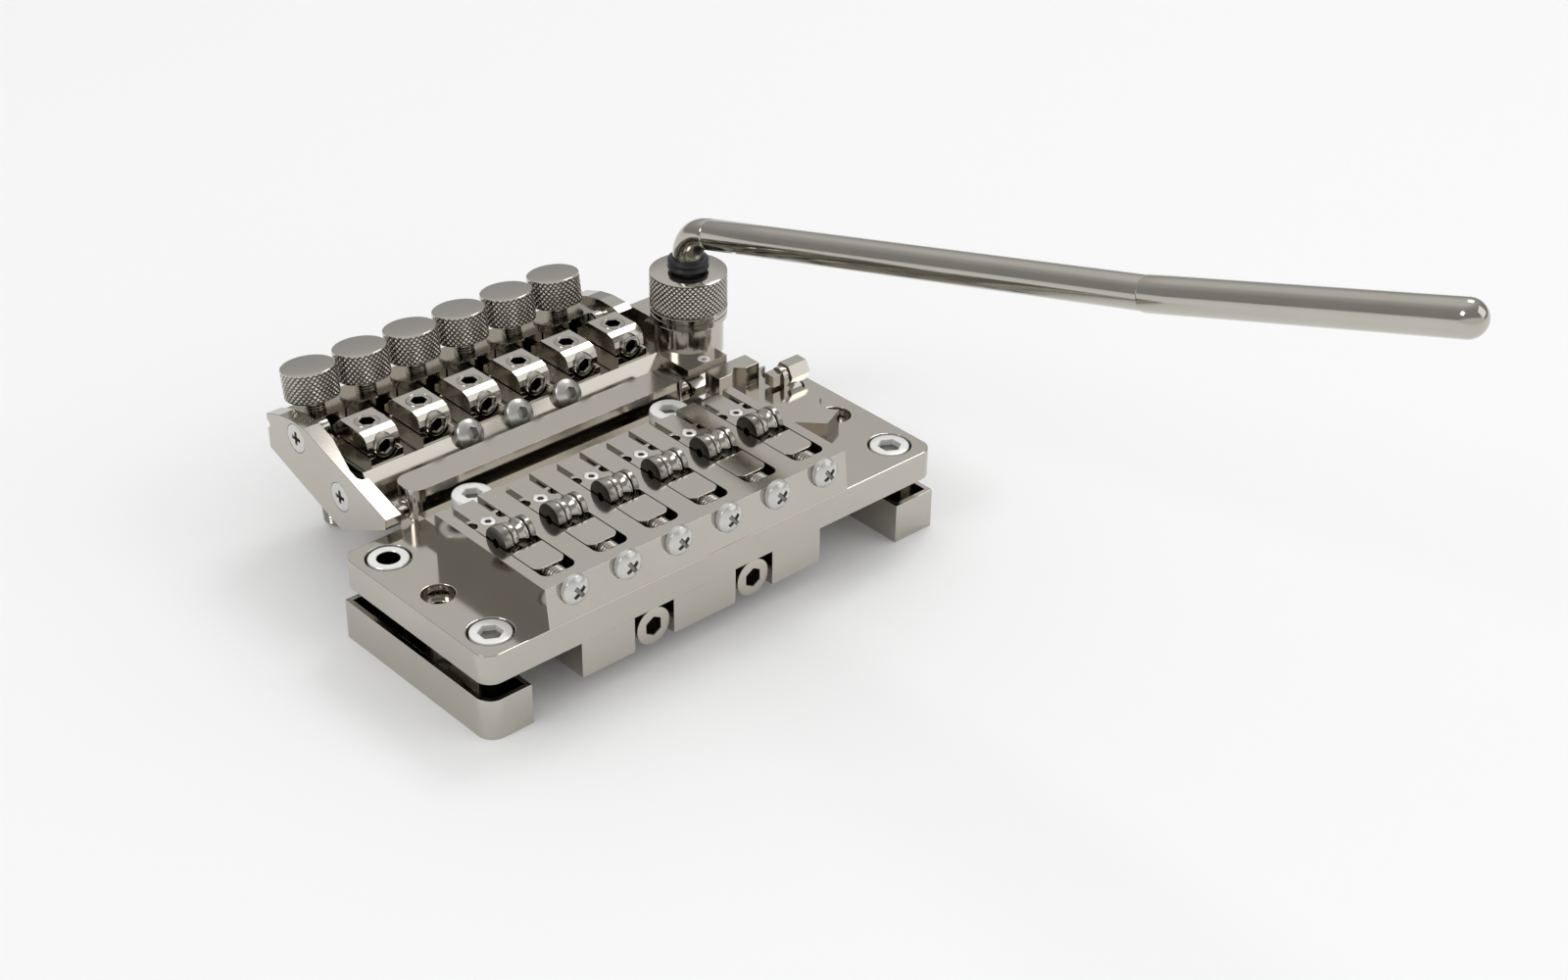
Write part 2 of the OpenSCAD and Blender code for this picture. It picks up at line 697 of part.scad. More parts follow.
// Centre line of a coil along Y: straight ends one wire long, n curls of 8 steps
function coil_path(len, n, r, wire) = let (rise = len - 2 * wire) concat(
    [[r, 0, 0]],
    [for (k = [0:round(n * coil_steps)]) let (a = 360 * k / coil_steps)
        [r * cos(a), wire + rise * k / round(n * coil_steps), r * sin(a)]],
    [let (a = 360 * round(n * coil_steps) / coil_steps) [r * cos(a), len, r * sin(a)]]
);
function unit(v) = v / norm(v);
function coil_tangent(p, k) =
    k == 0 ? [0, 1, 0] : k == len(p) - 1 ? [0, 1, 0] : unit(p[k + 1] - p[k - 1]);
function coil_out(p, k) = unit([p[k][0], 0, p[k][2]]);
function coil_ring(p, k, wire) = let (
    t = coil_tangent(p, k),
    n = unit(coil_out(p, k) - (coil_out(p, k) * t) * t),
    b = cross(t, n)
) [for (s = [0:coil_sides - 1]) let (a = 360 * s / coil_sides)
    p[k] + wire / 2 * (cos(a) * n + sin(a) * b)];
function coil_gap(p, wire) = min([for (j = [0:len(p) - 1], k = [0:len(p) - 1])
    if (k - j > coil_steps / 2) norm(p[j] - p[k]) - wire]);

module coil(len, n, r, wire) {
    p = coil_path(len, n, r, wire);
    points = [for (k = [0:len(p) - 1]) each coil_ring(p, k, wire)];
    last = (len(p) - 1) * coil_sides;
    faces = concat(
        [for (k = [0:len(p) - 2], s = [0:coil_sides - 1]) let (
            a = k * coil_sides + s,
            b = k * coil_sides + (s + 1) % coil_sides
        ) each [[a, b, b + coil_sides], [a, b + coil_sides, a + coil_sides]]],
        [for (s = [1:coil_sides - 2]) [0, s + 1, s]],
        [for (s = [1:coil_sides - 2]) [last, last + s, last + s + 1]]
    );
    echo(least_gap = coil_gap(p, wire));
    polyhedron(points, faces);
}

module tension_springs() color(nickel)
    for (x = tension_xs)
        translate([x, tension_rear + seat, tension_z])
            coil(tension_spring_len, tension_curls, tension_coil_r, tension_wire);

module saddle_springs() color(nickel)
    for (i = strings)
        translate([string_x(i), channel_front + 0.1, into_z])
            coil(spring_room - 0.2, saddle_curls, saddle_coil_r, saddle_wire);

// Flat bar behind the plate, with a foot under the plate and slots for the springs
module pivot_block() color(nickel) difference() {
    union() {
        translate([string_mid_x, plate_d / 2 + bar_d / 2, plate_z - block_foot_h / 2]) {
            linear_extrude(plate_top + bar_rise - plate_z + block_foot_h / 2)
                round_plan(bar_w, bar_d, bar_corner_r);
        }
        along_x(string_mid_x - bar_w / 2, bar_w) polygon([
            [plate_d / 2 - block_foot_d, plate_z],
            [plate_d / 2 - block_foot_d, plate_z - block_foot_h],
            [plate_d / 2 + 1.5, plate_z - block_foot_h],
            [plate_d / 2 + bar_d - bar_corner_r, plate_z],
            [plate_d / 2 + bar_d - bar_corner_r, plate_top],
            [plate_d / 2, plate_top],
            [plate_d / 2, plate_z]
        ]);
    }
    for (x = tension_xs)
        translate([x - slot_w / 2, plate_d / 2 - block_foot_d - cut, plate_z - block_foot_h - cut])
            cube([slot_w, block_foot_d + bar_d + 2 * cut, block_foot_h + cut + 0.2]);
    for (x = rear_screw_xs)
        translate([x, pivot_block_screw_y, plate_z - block_foot_h - cut])
            cylinder(h = block_foot_h + 2 * cut, d = block_screw_d + 2 * fit);
    for (s = [-1, 1])
        translate([string_mid_x + s * (bar_w / 2 - pin_in), pivot_y, pivot_z])
            rotate([0, s * 90, 0]) cylinder(h = pin_in + cut, d = pivot_pin_d + 0.02);
}

module pivot_pins() color(bright)
    for (s = [-1, 1])
        translate([string_mid_x + s * (frame_w / 2 - bar_end_gap - pin_in), pivot_y, pivot_z])
            rotate([0, s * 90, 0]) cylinder(h = pin_in + bar_end_gap + pin_out, d = pivot_pin_d);

module pivot_washers() color(dark_nickel)
    for (s = [-1, 1])
        translate([string_mid_x + s * (frame_w / 2 - bar_end_gap), pivot_y, pivot_z])
            rotate([0, s * 90, 0]) difference() {
                cylinder(h = bar_end_gap - 0.2, d = pivot_pin_d + 1.7);
                translate([0, 0, -cut]) cylinder(h = bar_end_gap + 2 * cut, d = pivot_pin_d + 0.02);
            }

// Tilt lock: plate with a nose, upright block with a vee notch, and an ear for the screw
module lock_plate() color(nickel) difference() {
    union() {
        difference() {
            translate([lock_left, lock_rear, plate_top]) linear_extrude(lock_t)
                polygon(lock_outline);
            translate([corner_x, corner_y, plate_top - cut])
                cylinder(h = lock_t + 2 * cut, d = head_d + 1);
            translate([corner_x, 0, plate_top - cut])
                cylinder(h = lock_t + 2 * cut, d = mount_bore_d + 0.2);
            translate([lock_hex_x - 0.2, lock_screw_y - lock_hex_af / 2 - 0.8, plate_top - cut])
                cube([lock_right, lock_hex_af + 1.6, lock_t + 2 * cut]);
        }
        translate([lock_left, lock_rear - lock_block_d, plate_top])
            cube([lock_block_w, lock_block_d, lock_h]);
        along_x(lock_ear_x, lock_ear_t) {
            translate([lock_screw_y, lock_screw_z]) circle(d = lock_ear_w);
            translate([lock_screw_y - lock_ear_w / 2, plate_top + lock_t / 2])
                square([lock_ear_w, lock_screw_rise - lock_t / 2]);
        }
    }
    translate([lock_left + lock_block_w / 2, lock_rear - lock_block_d, plate_top + lock_t + lock_h])
        rotate([0, 0, 45]) cube([lock_notch, lock_notch, 2 * lock_h], center = true);
    rod_x(lock_ear_x - cut, lock_screw_y, lock_screw_z, lock_d + 2 * fit, lock_ear_t + 2 * cut);
}

module lock_screw() color(bright) {
    rod_x(lock_tip_x + lock_tip_len / 2, lock_screw_y, lock_screw_z, lock_d,
        lock_hex_x - lock_tip_x);
    translate([lock_tip_x, lock_screw_y - lock_tip / 2, lock_screw_z - lock_tip / 2])
        cube([lock_tip_len, lock_tip, lock_tip]);
    translate([lock_hex_x, lock_screw_y, lock_screw_z]) rotate([0, 90, 0])
        linear_extrude(lock_hex_len) rotate(30) hexagon(lock_hex_af);
}

// Tail: main block with the clamp ridges, crosspiece for the knobs, claw for the springs
module tail_body() color(nickel) on_tail() difference() {
    union() {
        along_x(inner_left, frame_w) polygon([
            [tail_clear_r - 0.6, -tail_bottom],
            [tail_clear_r - 0.6, 0],
            [tail_clear_r - 0.15, 1.4],
            dome_edge,
            [cross_front + 1, tail_top],
            [cross_front + 1, -2.8],
            [leg_slot_front - 0.6, -2.8],
            [leg_slot_front - 0.6, -tail_bottom]
        ]);
        along_x(inner_left, frame_w) polygon([
            [cross_front, cross_top],
            [cross_front + cross_d, cross_top - cross_d * tan(knob_tilt)],
            [cross_front + cross_d, -cross_bottom],
            [cross_front, -cross_bottom]
        ]);
        for (i = strings)
            along_x(string_x(i) - clamp_w / 2, clamp_w) polygon([
                [tail_clear_r + 0.4, 1.1],
                [tail_clear_r + 1.2, 2.2],
                [tail_clear_r + 1.9, 2.7],
                [clamp_front - 0.8, ridge_top],
                [clamp_front + clamp_len, ridge_top],
                [clamp_front + clamp_len, 0],
                [tail_clear_r + 0.4, 0]
            ]);
        translate([string_mid_x - claw_w / 2, claw_front, -claw_bottom])
            cube([claw_w, claw_t, claw_bottom - tail_bottom + 1]);
        for (s = [-1, 1])
            translate([string_mid_x + s * frame_w / 2, side_screws[0][0], side_screws[0][1]])
                rotate([0, -s * 90, 0]) cylinder(h = side_screw_reach, r = boss_r);
        stop_lug();
    }
    rod_x(inner_left - cut, rod_y, rod_z, rod_d + 0.02, frame_w + 2 * cut);
    for (i = strings) {
        translate([string_x(i) - leg_w / 2 - leg_gap, leg_slot_front, -2 * tail_bottom])
            cube([leg_w + 2 * leg_gap, leg_slot_d, 4 * tail_bottom]);
        rod_y(string_x(i), clamp_front - barrel_proud - cut, barrel_z, barrel_d + 2 * leg_gap,
            barrel_len + leg_gap + cut);
        translate([string_x(i), knob_base_y, knob_base_z]) rotate([-knob_tilt, 0, 0])
            translate([0, 0, -knob_base_z - cross_bottom - shaft_d])
                cylinder(h = knob_base_z + cross_bottom + 2 * shaft_d, d = shaft_d + 2 * fit);
    }
    on_dome_seats() translate([0, 0, -dome_shank_len - cut])
        cylinder(h = dome_shank_len + 2 * dome_h, d = dome_shank_d + 0.02);
    for (s = [-1, 1], p = side_screws)
        translate([string_mid_x + s * (frame_w / 2 + cut), p[0], p[1]]) rotate([0, -s * 90, 0])
            cylinder(h = side_screw_reach + 0.2 + cut, d = side_screw_d + 0.02);
    for (x = tension_xs)
        rod_y(x, claw_front - cut, tension_z - pivot_z, claw_hole_d, claw_t + 2 * cut);
}

// Places children on the seats of the domed screws, with Z out of the front slope
module on_dome_seats() {
    for (x = dome_xs) translate([x, dome_seat[0], dome_seat[1]]) rotate([90 - dome_tilt, 0, 0])
        children();
}

// Lug that meets the rear of the pivot block when the tail is at rest
module stop_lug() {
    translate([string_mid_x - stop_w / 2, bar_d - pivot_back + stop_gap, stop_low])
        cube([stop_w, tail_clear_r, stop_h]);
}

module side_plate(s) on_tail() difference() {
    along_x(s < 0 ? inner_left - side_plate_t : inner_right, side_plate_t) polygon(side_outline);
    translate([string_mid_x + s * (frame_w / 2 - cut), 0, 0]) rotate([0, s * 90, 0])
        cylinder(h = pin_out + 0.2 + cut, d = pivot_pin_d + 2 * fit);
    for (p = side_screws) {
        translate([string_mid_x + s * (frame_w / 2 - cut), p[0], p[1]]) rotate([0, s * 90, 0])
            cylinder(h = side_plate_t + 2 * cut, d = side_screw_d + 0.02);
        translate([string_mid_x + s * (frame_w / 2 + side_plate_t - side_head_h), p[0], p[1]])
            rotate([0, s * 90, 0]) cylinder(h = side_head_h + cut, d = side_head_d + 0.02);
    }
    translate([string_mid_x + s * frame_w / 2, 0, relief_low]) linear_extrude(tail_top + clamp_top)
        polygon(concat([for (p = side_relief) [s * p[1] * relief_depth, p[0]]],
            [[-s * cut, side_relief[4][0]], [-s * cut, side_relief[0][0]]]));
    translate([string_mid_x, 0, 0])
        rod_x(-frame_w, side_notch[0], side_notch[1], 2 * side_notch_r, 2 * frame_w);
}

module left_side_plate() color(bright) side_plate(-1);

module right_side_plate() color(bright) difference() {
    side_plate(1);
    on_tail() translate([inner_right - cut, -4, lug_top - lug_t])
        cube([side_plate_t + 2 * cut, arm_y_off + arm_block_d, clamp_top]);
}

module side_plate_screws() color(bright) on_tail()
    for (s = [-1, 1], p = side_screws)
        translate([string_mid_x + s * (frame_w / 2 + side_plate_t - side_head_h), p[0], p[1]])
            rotate([0, s * 90, 0]) {
                cylinder(h = side_head_h, d = side_head_d);
                translate([0, 0, side_head_h - side_plate_t - side_screw_reach])
                    cylinder(h = side_plate_t + side_screw_reach - side_head_h, d = side_screw_d);
            }

module dome_screws() color(bright) on_tail()
    on_dome_seats() difference() {
        union() {
            intersection() {
                cylinder(h = dome_h, d = dome_d);
                translate([0, 0, dome_h - dome_r]) sphere(r = dome_r);
            }
            translate([0, 0, -dome_shank_len]) cylinder(h = dome_shank_len, d = dome_shank_d);
        }
        translate([0, 0, dome_h - dome_socket]) linear_extrude(dome_h) hexagon(dome_af);
    }

module clamp_pivot_rod() color(bright) on_tail()
    rod_x(inner_left + 0.1, rod_y, rod_z, rod_d, frame_w - 0.2);

// Jaw above its ridge, leg on the rod, heel with a fork round the knob's shaft
module clamp(i) on_tail() translate([string_x(i), 0, 0]) {
    jaw_rear = clamp_front + clamp_len;
    fork_front = shaft_at_heel_y - shaft_d / 2 - fork_margin;
    fork_rear = shaft_at_heel_y + shaft_d;
    color(nickel) difference() {
        union() {
            along_x(-clamp_w / 2, clamp_w) polygon([
                [clamp_front, clamp_under],
                [clamp_front, clamp_top - 2.2],
                [clamp_front + 0.3, clamp_top - 1.2],
                [clamp_front + 1, clamp_top - 0.4],
                [clamp_front + 2.2, clamp_top],
                [jaw_rear - 1.4, clamp_top],
                [jaw_rear, clamp_top - 1.2],
                [jaw_rear, clamp_under]
            ]);
            along_x(-leg_w / 2, leg_w) polygon([
                [jaw_rear - 1, clamp_under],
                [jaw_rear - 1, clamp_top - 1.4],
                [leg_front + leg_d, clamp_top - 3.6],
                [leg_front + leg_d, heel_top],
                [fork_front + cut, heel_top],
                [fork_front + cut, heel_top - heel_h],
                [leg_front, heel_top - heel_h],
                [leg_front, clamp_under]
            ]);
            translate([-fork_w / 2, fork_front, heel_top - heel_h])
                cube([fork_w, fork_rear - fork_front, heel_h]);
        }
        rod_x(-leg_w, rod_y, rod_z, rod_d + 2 * fit, 2 * leg_w);
        translate([-fork_slot / 2, fork_front + 1, heel_top - heel_h - cut])
            cube([fork_slot, 2 * fork_w, heel_h + 2 * cut]);
        rod_y(0, clamp_front - cut, barrel_z, barrel_d, barrel_len - barrel_proud + cut);
        translate([0, clamp_front + jaw_screw_back, clamp_top - jaw_screw_len])
            cylinder(h = jaw_screw_len + cut, d = jaw_screw_d);
    }
    color(bright) difference() {
        rod_y(0, clamp_front - barrel_proud, barrel_z, barrel_d - 2 * apart, barrel_len - apart);
        translate([0, clamp_front - barrel_proud + barrel_socket, barrel_z]) rotate([90, 0, 0])
            linear_extrude(barrel_len) hexagon(barrel_af);
    }
    color(bright) translate([0, clamp_front + jaw_screw_back, clamp_top - jaw_screw_len + apart])
        difference() {
            cylinder(h = jaw_screw_len, d = jaw_screw_d - 2 * apart);
            translate([0, 0, jaw_screw_len - jaw_socket]) linear_extrude(jaw_screw_len)
                hexagon(jaw_af);
        }
}

// Knob with its collar and threaded shaft
module knob(i) color(nickel) on_tail()
    translate([string_x(i), knob_base_y, knob_base_z]) rotate([-knob_tilt, 0, 0]) {
        translate([0, 0, knob_gap]) cylinder(h = knob_h - knob_edge, d = knob_d);
        translate([0, 0, knob_gap + knob_h - knob_edge])
            cylinder(h = knob_edge, d1 = knob_d, d2 = knob_d - 2 * knob_edge);
        shaft_len = (knob_base_z - shaft_foot_z) / cos(knob_tilt) - shaft_d / 2 * tan(knob_tilt);
        translate([0, 0, -shaft_len]) cylinder(h = shaft_len + knob_gap + 1, d = shaft_d);
        translate([0, 0, -collar_top_s - collar_h]) cylinder(h = collar_h, d = collar_d);
    }

// Pan head with a cross recess, shank along +Y into the saddle
module intonation_screw(i) color(bright) difference() {
    union() {
        translate([string_x(i), frame_front - fit, into_z]) rotate([90, 0, 0]) {
            cylinder(h = into_edge, d = into_head_d);
            translate([0, 0, into_edge]) cylinder(h = into_head_h - into_edge,
                d1 = into_head_d, d2 = into_head_d * 0.72);
        }
        rod_y(string_x(i), frame_front - 2 * fit, into_z, into_d, into_len);
    }
    for (a = [0, 90])
        translate([string_x(i), frame_front - into_head_h, into_z]) rotate([0, a, 0])
            cube([cross_len, 2 * cross_depth, cross_t], center = true);
}

// Saddle block with its fixed axle and its set screw
module saddle(i) translate([string_x(i), roller_y, 0]) {
    pad_rear = -pad_to_roller;
    height = frame_top - saddle_z;
    tongue_h = frame_top - tongue_z;
    scoop_r = disc_r + fit;
    color(nickel) difference() {
        union() {
            translate([0, pad_rear - pad_len / 2, saddle_z]) linear_extrude(height) {
                round_plan(saddle_w, pad_len, channel_r);
                translate([0, channel_r]) square([saddle_w, pad_len], center = true);
            }
            translate([-saddle_w / 2, pad_rear, saddle_z])
                cube([saddle_w, block_back - pad_rear, height]);
            translate([-saddle_w / 2, block_back - cut, tongue_z])
                cube([saddle_w, flange_len + cut, tongue_h - flange_drop]);
            translate([-tongue_w / 2, block_back - cut, tongue_z])
                cube([tongue_w, tongue_len + cut, tongue_h]);
        }
        rod_x(-saddle_w, 0, roller_z, 2 * scoop_r, 2 * saddle_w);
        translate([-saddle_w, pad_rear, roller_z - scoop_r]) cube([2 * saddle_w, -pad_rear, 2 * height]);
        for (s = [-1, 1])
            translate([s * (tongue_w / 2 + 1), block_back - 1.6, frame_top])
                cylinder(h = 2.4, r = 1, center = true);
        rod_y(0, pad_rear - pad_len - cut, into_z, into_d + 2 * fit, pad_len + 2 * cut);
        translate([0, set_screw_back, saddle_z - cut]) cylinder(h = height + 2 * cut, d = set_screw_d);
    }
    color(bright) translate([0, set_screw_back, plate_top + frame_floor + fit]) difference() {
        cylinder(h = frame_h - frame_floor - fit, d = set_screw_d - 2 * apart);
        translate([0, 0, frame_h - frame_floor - cut]) linear_extrude(2 * cut) hexagon(small_af);
    }
    color(dark_nickel) difference() {
        union() {
            rod_x(-saddle_w / 2, 0, roller_z, axle_d, saddle_w);
            rod_x(-saddle_w / 2, 0, roller_z, 2 * disc_r, axle_disc_t);
            rod_x(saddle_w / 2 - axle_end_t, 0, roller_z, 2 * roller_r, axle_end_t);
        }
        translate([-saddle_w / 2 - cut, 0, roller_z]) rotate([0, 90, 0])
            linear_extrude(2 * cut) hexagon(small_af);
    }
}

module roller(i) color(bright)
    translate([string_x(i) - saddle_w / 2 + axle_disc_t + roller_gap, roller_y, roller_z])
        rotate([0, 90, 0]) {
        w = saddle_w - axle_disc_t - axle_end_t - 2 * roller_gap;
        rotate_extrude() polygon([
            [axle_d / 2 + fit, 0],
            [roller_r - 0.2, 0],
            [roller_r, 0.3],
            [roller_r, w / 2 - (roller_r - groove_r)],
            [groove_r, w / 2],
            [roller_r, w / 2 + (roller_r - groove_r)],
            [roller_r, w - 0.3],
            [roller_r - 0.2, w],
            [axle_d / 2 + fit, w]
        ]);
    }

// Arm block on the right side plate: lug, neck and stub with the arm's bore
module arm_block() color(nickel) difference() {
    union() {
        on_tail() {
            translate([inner_right, -1, lug_top - lug_t])
                cube([arm_x_off + side_plate_t + 1, arm_y_off, lug_t]);
            translate([inner_right + side_plate_t, arm_block_y, arm_block_top - arm_block_h])
                linear_extrude(arm_block_h) {
                    square([arm_block_w - arm_block_d / 2, arm_block_d - 2]);
                    translate([arm_block_w - arm_block_d / 2, arm_block_d / 2 - 1])
                        circle(r = arm_block_d / 2 - 1);
                }
        }
        translate([arm_x, arm_y, pivot_z + lug_top - lug_t])
            cylinder(h = neck_top - lug_top + lug_t, d = neck_d);
        translate([arm_x, arm_y, pivot_z]) cylinder(h = stub_top - pivot_z, d = stub_d);
    }
    translate([arm_x, arm_y, arm_low - 0.3]) cylinder(h = nut_h * 2, d = arm_d + 2 * fit);
    translate([lug_screw_x, pivot_y + lug_screw_y, pivot_z + lug_top - lug_t - cut])
        cylinder(h = lug_t + 2 * cut, d = lug_screw_d);
}

module lug_screw() color(bright)
    translate([lug_screw_x, pivot_y + lug_screw_y, pivot_z + lug_top - lug_t]) difference() {
        cylinder(h = lug_t, d = lug_screw_d);
        translate([0, 0, lug_t - 0.7]) linear_extrude(1) hexagon(small_af);
    }

module collar_nut() color(nickel) difference() {
    translate([arm_x, arm_y, nut_low]) cylinder(h = nut_h, d = nut_d);
    translate([arm_x, arm_y, nut_low - cut])
        cylinder(h = stub_top - nut_low + 0.2 + cut, d = stub_d + 2 * fit);
    translate([arm_x, arm_y, nut_low]) cylinder(h = nut_h + cut, d = arm_d + 0.6);
}

module arm_bush() color(black) translate([arm_x, arm_y, nut_top + seat]) difference() {
    union() {
        cylinder(h = bush_h, d = bush_d - 0.5);
        for (z = [bush_h * 0.27, bush_h * 0.73])
            translate([0, 0, z]) cylinder(h = bush_h * 0.4, d = bush_d, center = true);
    }
    translate([0, 0, -cut]) cylinder(h = bush_h + 2 * cut, d = arm_d + 0.02);
}

// Rod: upright stretch, bend, inner stretch, outer stretch at a slightly steeper rise
module arm() color(nickel) translate([arm_x, arm_y, 0]) rotate([0, 0, arm_heading]) {
    corner_z = pivot_z + arm_corner;
    turn = 90 - arm_rise_1;
    leg = arm_bend_r * tan(turn / 2);
    len_1 = arm_len_1 / cos(arm_rise_1) - leg;
    len_2 = arm_len_2 / cos(arm_rise_2);
    translate([0, 0, arm_low]) cylinder(h = corner_z - leg - arm_low + bend_lap, d = arm_d);
    translate([arm_bend_r, 0, corner_z - leg]) rotate([90, 0, 180])
        rotate_extrude(angle = turn) translate([arm_bend_r, 0]) circle(d = arm_d - bend_relief);
    translate([0, 0, corner_z]) rotate([0, 90 - arm_rise_1, 0]) translate([0, 0, leg - bend_lap])
        cylinder(h = len_1 + bend_lap, d = arm_d);
    translate([arm_len_1, 0, corner_z + arm_len_1 * tan(arm_rise_1)])
        rotate([0, 90 - arm_rise_2, 0]) translate([0, 0, -kink_lap]) rotate_extrude() {
            square([arm_tip_d / 2, len_2 + kink_lap]);
            intersection() {
                translate([0, len_2 + kink_lap]) circle(d = arm_tip_d);
                square([arm_tip_d, len_2 + arm_tip_d]);
            }
        }
}

base_plate();
left_foot();
right_foot();
foot_spacers();
corner_screws();
saddle_frame();
frame_screws();
spring_block();
spring_anchors();
block_screws();
tension_screw(0);  // tension_screw_1
tension_screw(1);  // tension_screw_2
tension_springs();
saddle_springs();
pivot_block();
pivot_pins();
pivot_washers();
lock_plate();
lock_screw();
tail_body();
left_side_plate();
right_side_plate();
side_plate_screws();
dome_screws();
clamp_pivot_rod();
arm_block();
lug_screw();
collar_nut();
arm_bush();
arm();
for (i = strings) {
    knob(i);
    clamp(i);
    intonation_screw(i);
    saddle(i);
    roller(i);
}
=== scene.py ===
import bpy
import bmesh
import math
import numpy as np
from mathutils import Matrix, Vector


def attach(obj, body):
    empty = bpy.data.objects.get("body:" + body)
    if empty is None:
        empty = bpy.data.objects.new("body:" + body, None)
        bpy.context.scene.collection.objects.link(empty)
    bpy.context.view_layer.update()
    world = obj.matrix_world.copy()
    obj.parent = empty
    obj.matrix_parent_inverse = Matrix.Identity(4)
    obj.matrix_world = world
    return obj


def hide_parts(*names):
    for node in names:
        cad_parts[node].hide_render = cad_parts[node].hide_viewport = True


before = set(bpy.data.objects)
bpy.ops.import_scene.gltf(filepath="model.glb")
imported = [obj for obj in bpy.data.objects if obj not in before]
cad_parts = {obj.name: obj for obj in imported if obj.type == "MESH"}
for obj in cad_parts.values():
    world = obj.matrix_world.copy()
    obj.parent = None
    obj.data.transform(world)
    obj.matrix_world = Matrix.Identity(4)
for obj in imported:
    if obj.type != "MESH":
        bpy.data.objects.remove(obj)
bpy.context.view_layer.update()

# Camera. The photograph looks down from the front left, at the bass end of the bridge.
# Its place was solved from the saddles, screws and knobs, which repeat at known steps.
camera_at = (-0.2296, -0.2842, 0.24455)
camera_yaw = math.radians(42.485)
camera_pitch = math.radians(31.836)
camera_roll = math.radians(0.758)
camera_lens = 59.27
camera_sensor = 36
camera_near = 0.01

forward = Vector((math.sin(camera_yaw) * math.cos(camera_pitch),
                  math.cos(camera_yaw) * math.cos(camera_pitch), -math.sin(camera_pitch)))
level_right = Vector((math.cos(camera_yaw), -math.sin(camera_yaw), 0))
level_up = level_right.cross(forward)
right = math.cos(camera_roll) * level_right + math.sin(camera_roll) * level_up
up = math.cos(camera_roll) * level_up - math.sin(camera_roll) * level_right
camera = bpy.data.objects.new("camera", bpy.data.cameras.new("camera"))
camera.matrix_world = Matrix.Translation(camera_at) @ Matrix(
    (right, up, -forward)).transposed().to_4x4()
camera.data.lens = camera_lens
camera.data.sensor_width = camera_sensor
camera.data.clip_start = camera_near
bpy.context.collection.objects.link(camera)
bpy.context.scene.camera = camera
bpy.context.scene.view_settings.view_transform = "Standard"


# Base plate. A milled steel plate, buffed and nickel plated, with broken edges. It stands on
# two feet and carries the saddle frame, the lock and the blocks.
def linear(hex_colour):
    """sRGB hex to linear RGB: c/12.92 below 0.04045, else ((c + 0.055)/1.055)^2.4."""
    c = np.array([int(hex_colour[k:k + 2], 16) for k in (1, 3, 5)]) / 255
    c = np.where(c <= 0.04045, c / 12.92, ((c + 0.055) / 1.055) ** 2.4)
    return (*c.tolist(), 1.0)


def node(material, kind, settings=None, links=None):
    """Adds a shader node, sets its sockets or attributes by name, and links its inputs."""
    n = material.node_tree.nodes.new(kind)
    for key, value in (settings or {}).items():
        if key in n.inputs:
            n.inputs[key].default_value = value
        else:
            setattr(n, key, value)
    for key, source in (links or {}).items():
        material.node_tree.links.new(source, n.inputs[key])
    return n


def new_material(name):
    """An empty node material and its output node."""
    material = bpy.data.materials.new(name)
    material.use_nodes = True
    material.node_tree.nodes.clear()
    return material, node(material, "ShaderNodeOutputMaterial")


def metal(name, light, dark, roughness, cloud_mm, grain_mm=0.05, grain_height=0.002,
          metallic=1.0):
    """Metal whose colour and gloss drift over cloud_mm, with a fine bump that is grain_mm wide
    and grain_height millimetres high. A colour mix has inputs 6 and 7 and output 2."""
    material, out = new_material(name)
    place = node(material, "ShaderNodeTexCoord").outputs["Object"]
    cloud = node(material, "ShaderNodeTexNoise", {"Scale": 1000 / cloud_mm, "Detail": 3.0},
                 {"Vector": place}).outputs["Fac"]
    tint = node(material, "ShaderNodeMix", {"data_type": "RGBA"}, {"Factor": cloud})
    tint.inputs[6].default_value = linear(dark)
    tint.inputs[7].default_value = linear(light)
    blur = node(material, "ShaderNodeMapRange", {"From Min": 0.3, "From Max": 0.7,
                "To Min": roughness * 0.8, "To Max": roughness * 1.25}, {"Value": cloud})
    grain = node(material, "ShaderNodeTexNoise", {"Scale": 1000 / grain_mm, "Detail": 2.0},
                 {"Vector": place}).outputs["Fac"]
    bump = node(material, "ShaderNodeBump", {"Strength": 0.25, "Distance": grain_height / 1000},
                {"Height": grain})
    shader = node(material, "ShaderNodeBsdfPrincipled", {"Metallic": metallic},
                  {"Base Color": tint.outputs[2], "Roughness": blur.outputs["Result"],
                   "Normal": bump.outputs["Normal"]})
    material.node_tree.links.new(shader.outputs["BSDF"], out.inputs["Surface"])
    return material


# Buffed nickel is a warm grey mirror, a little blurred, and cloudy where the plate is thinner.
nickel = metal("polished_nickel_plate", "#C2BDB4", "#BBB6AD", roughness=0.12, cloud_mm=9)


def finish_mesh(name, mesh, body, materials, replaced=None):
    """Links a mesh as a piece that rides on a body and stands for the CAD node it replaces."""
    piece = bpy.data.objects.new(name, mesh)
    bpy.context.collection.objects.link(piece)
    for material in materials:
        mesh.materials.append(material)
    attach(piece, body)
    if replaced:
        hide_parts(replaced)
    return piece


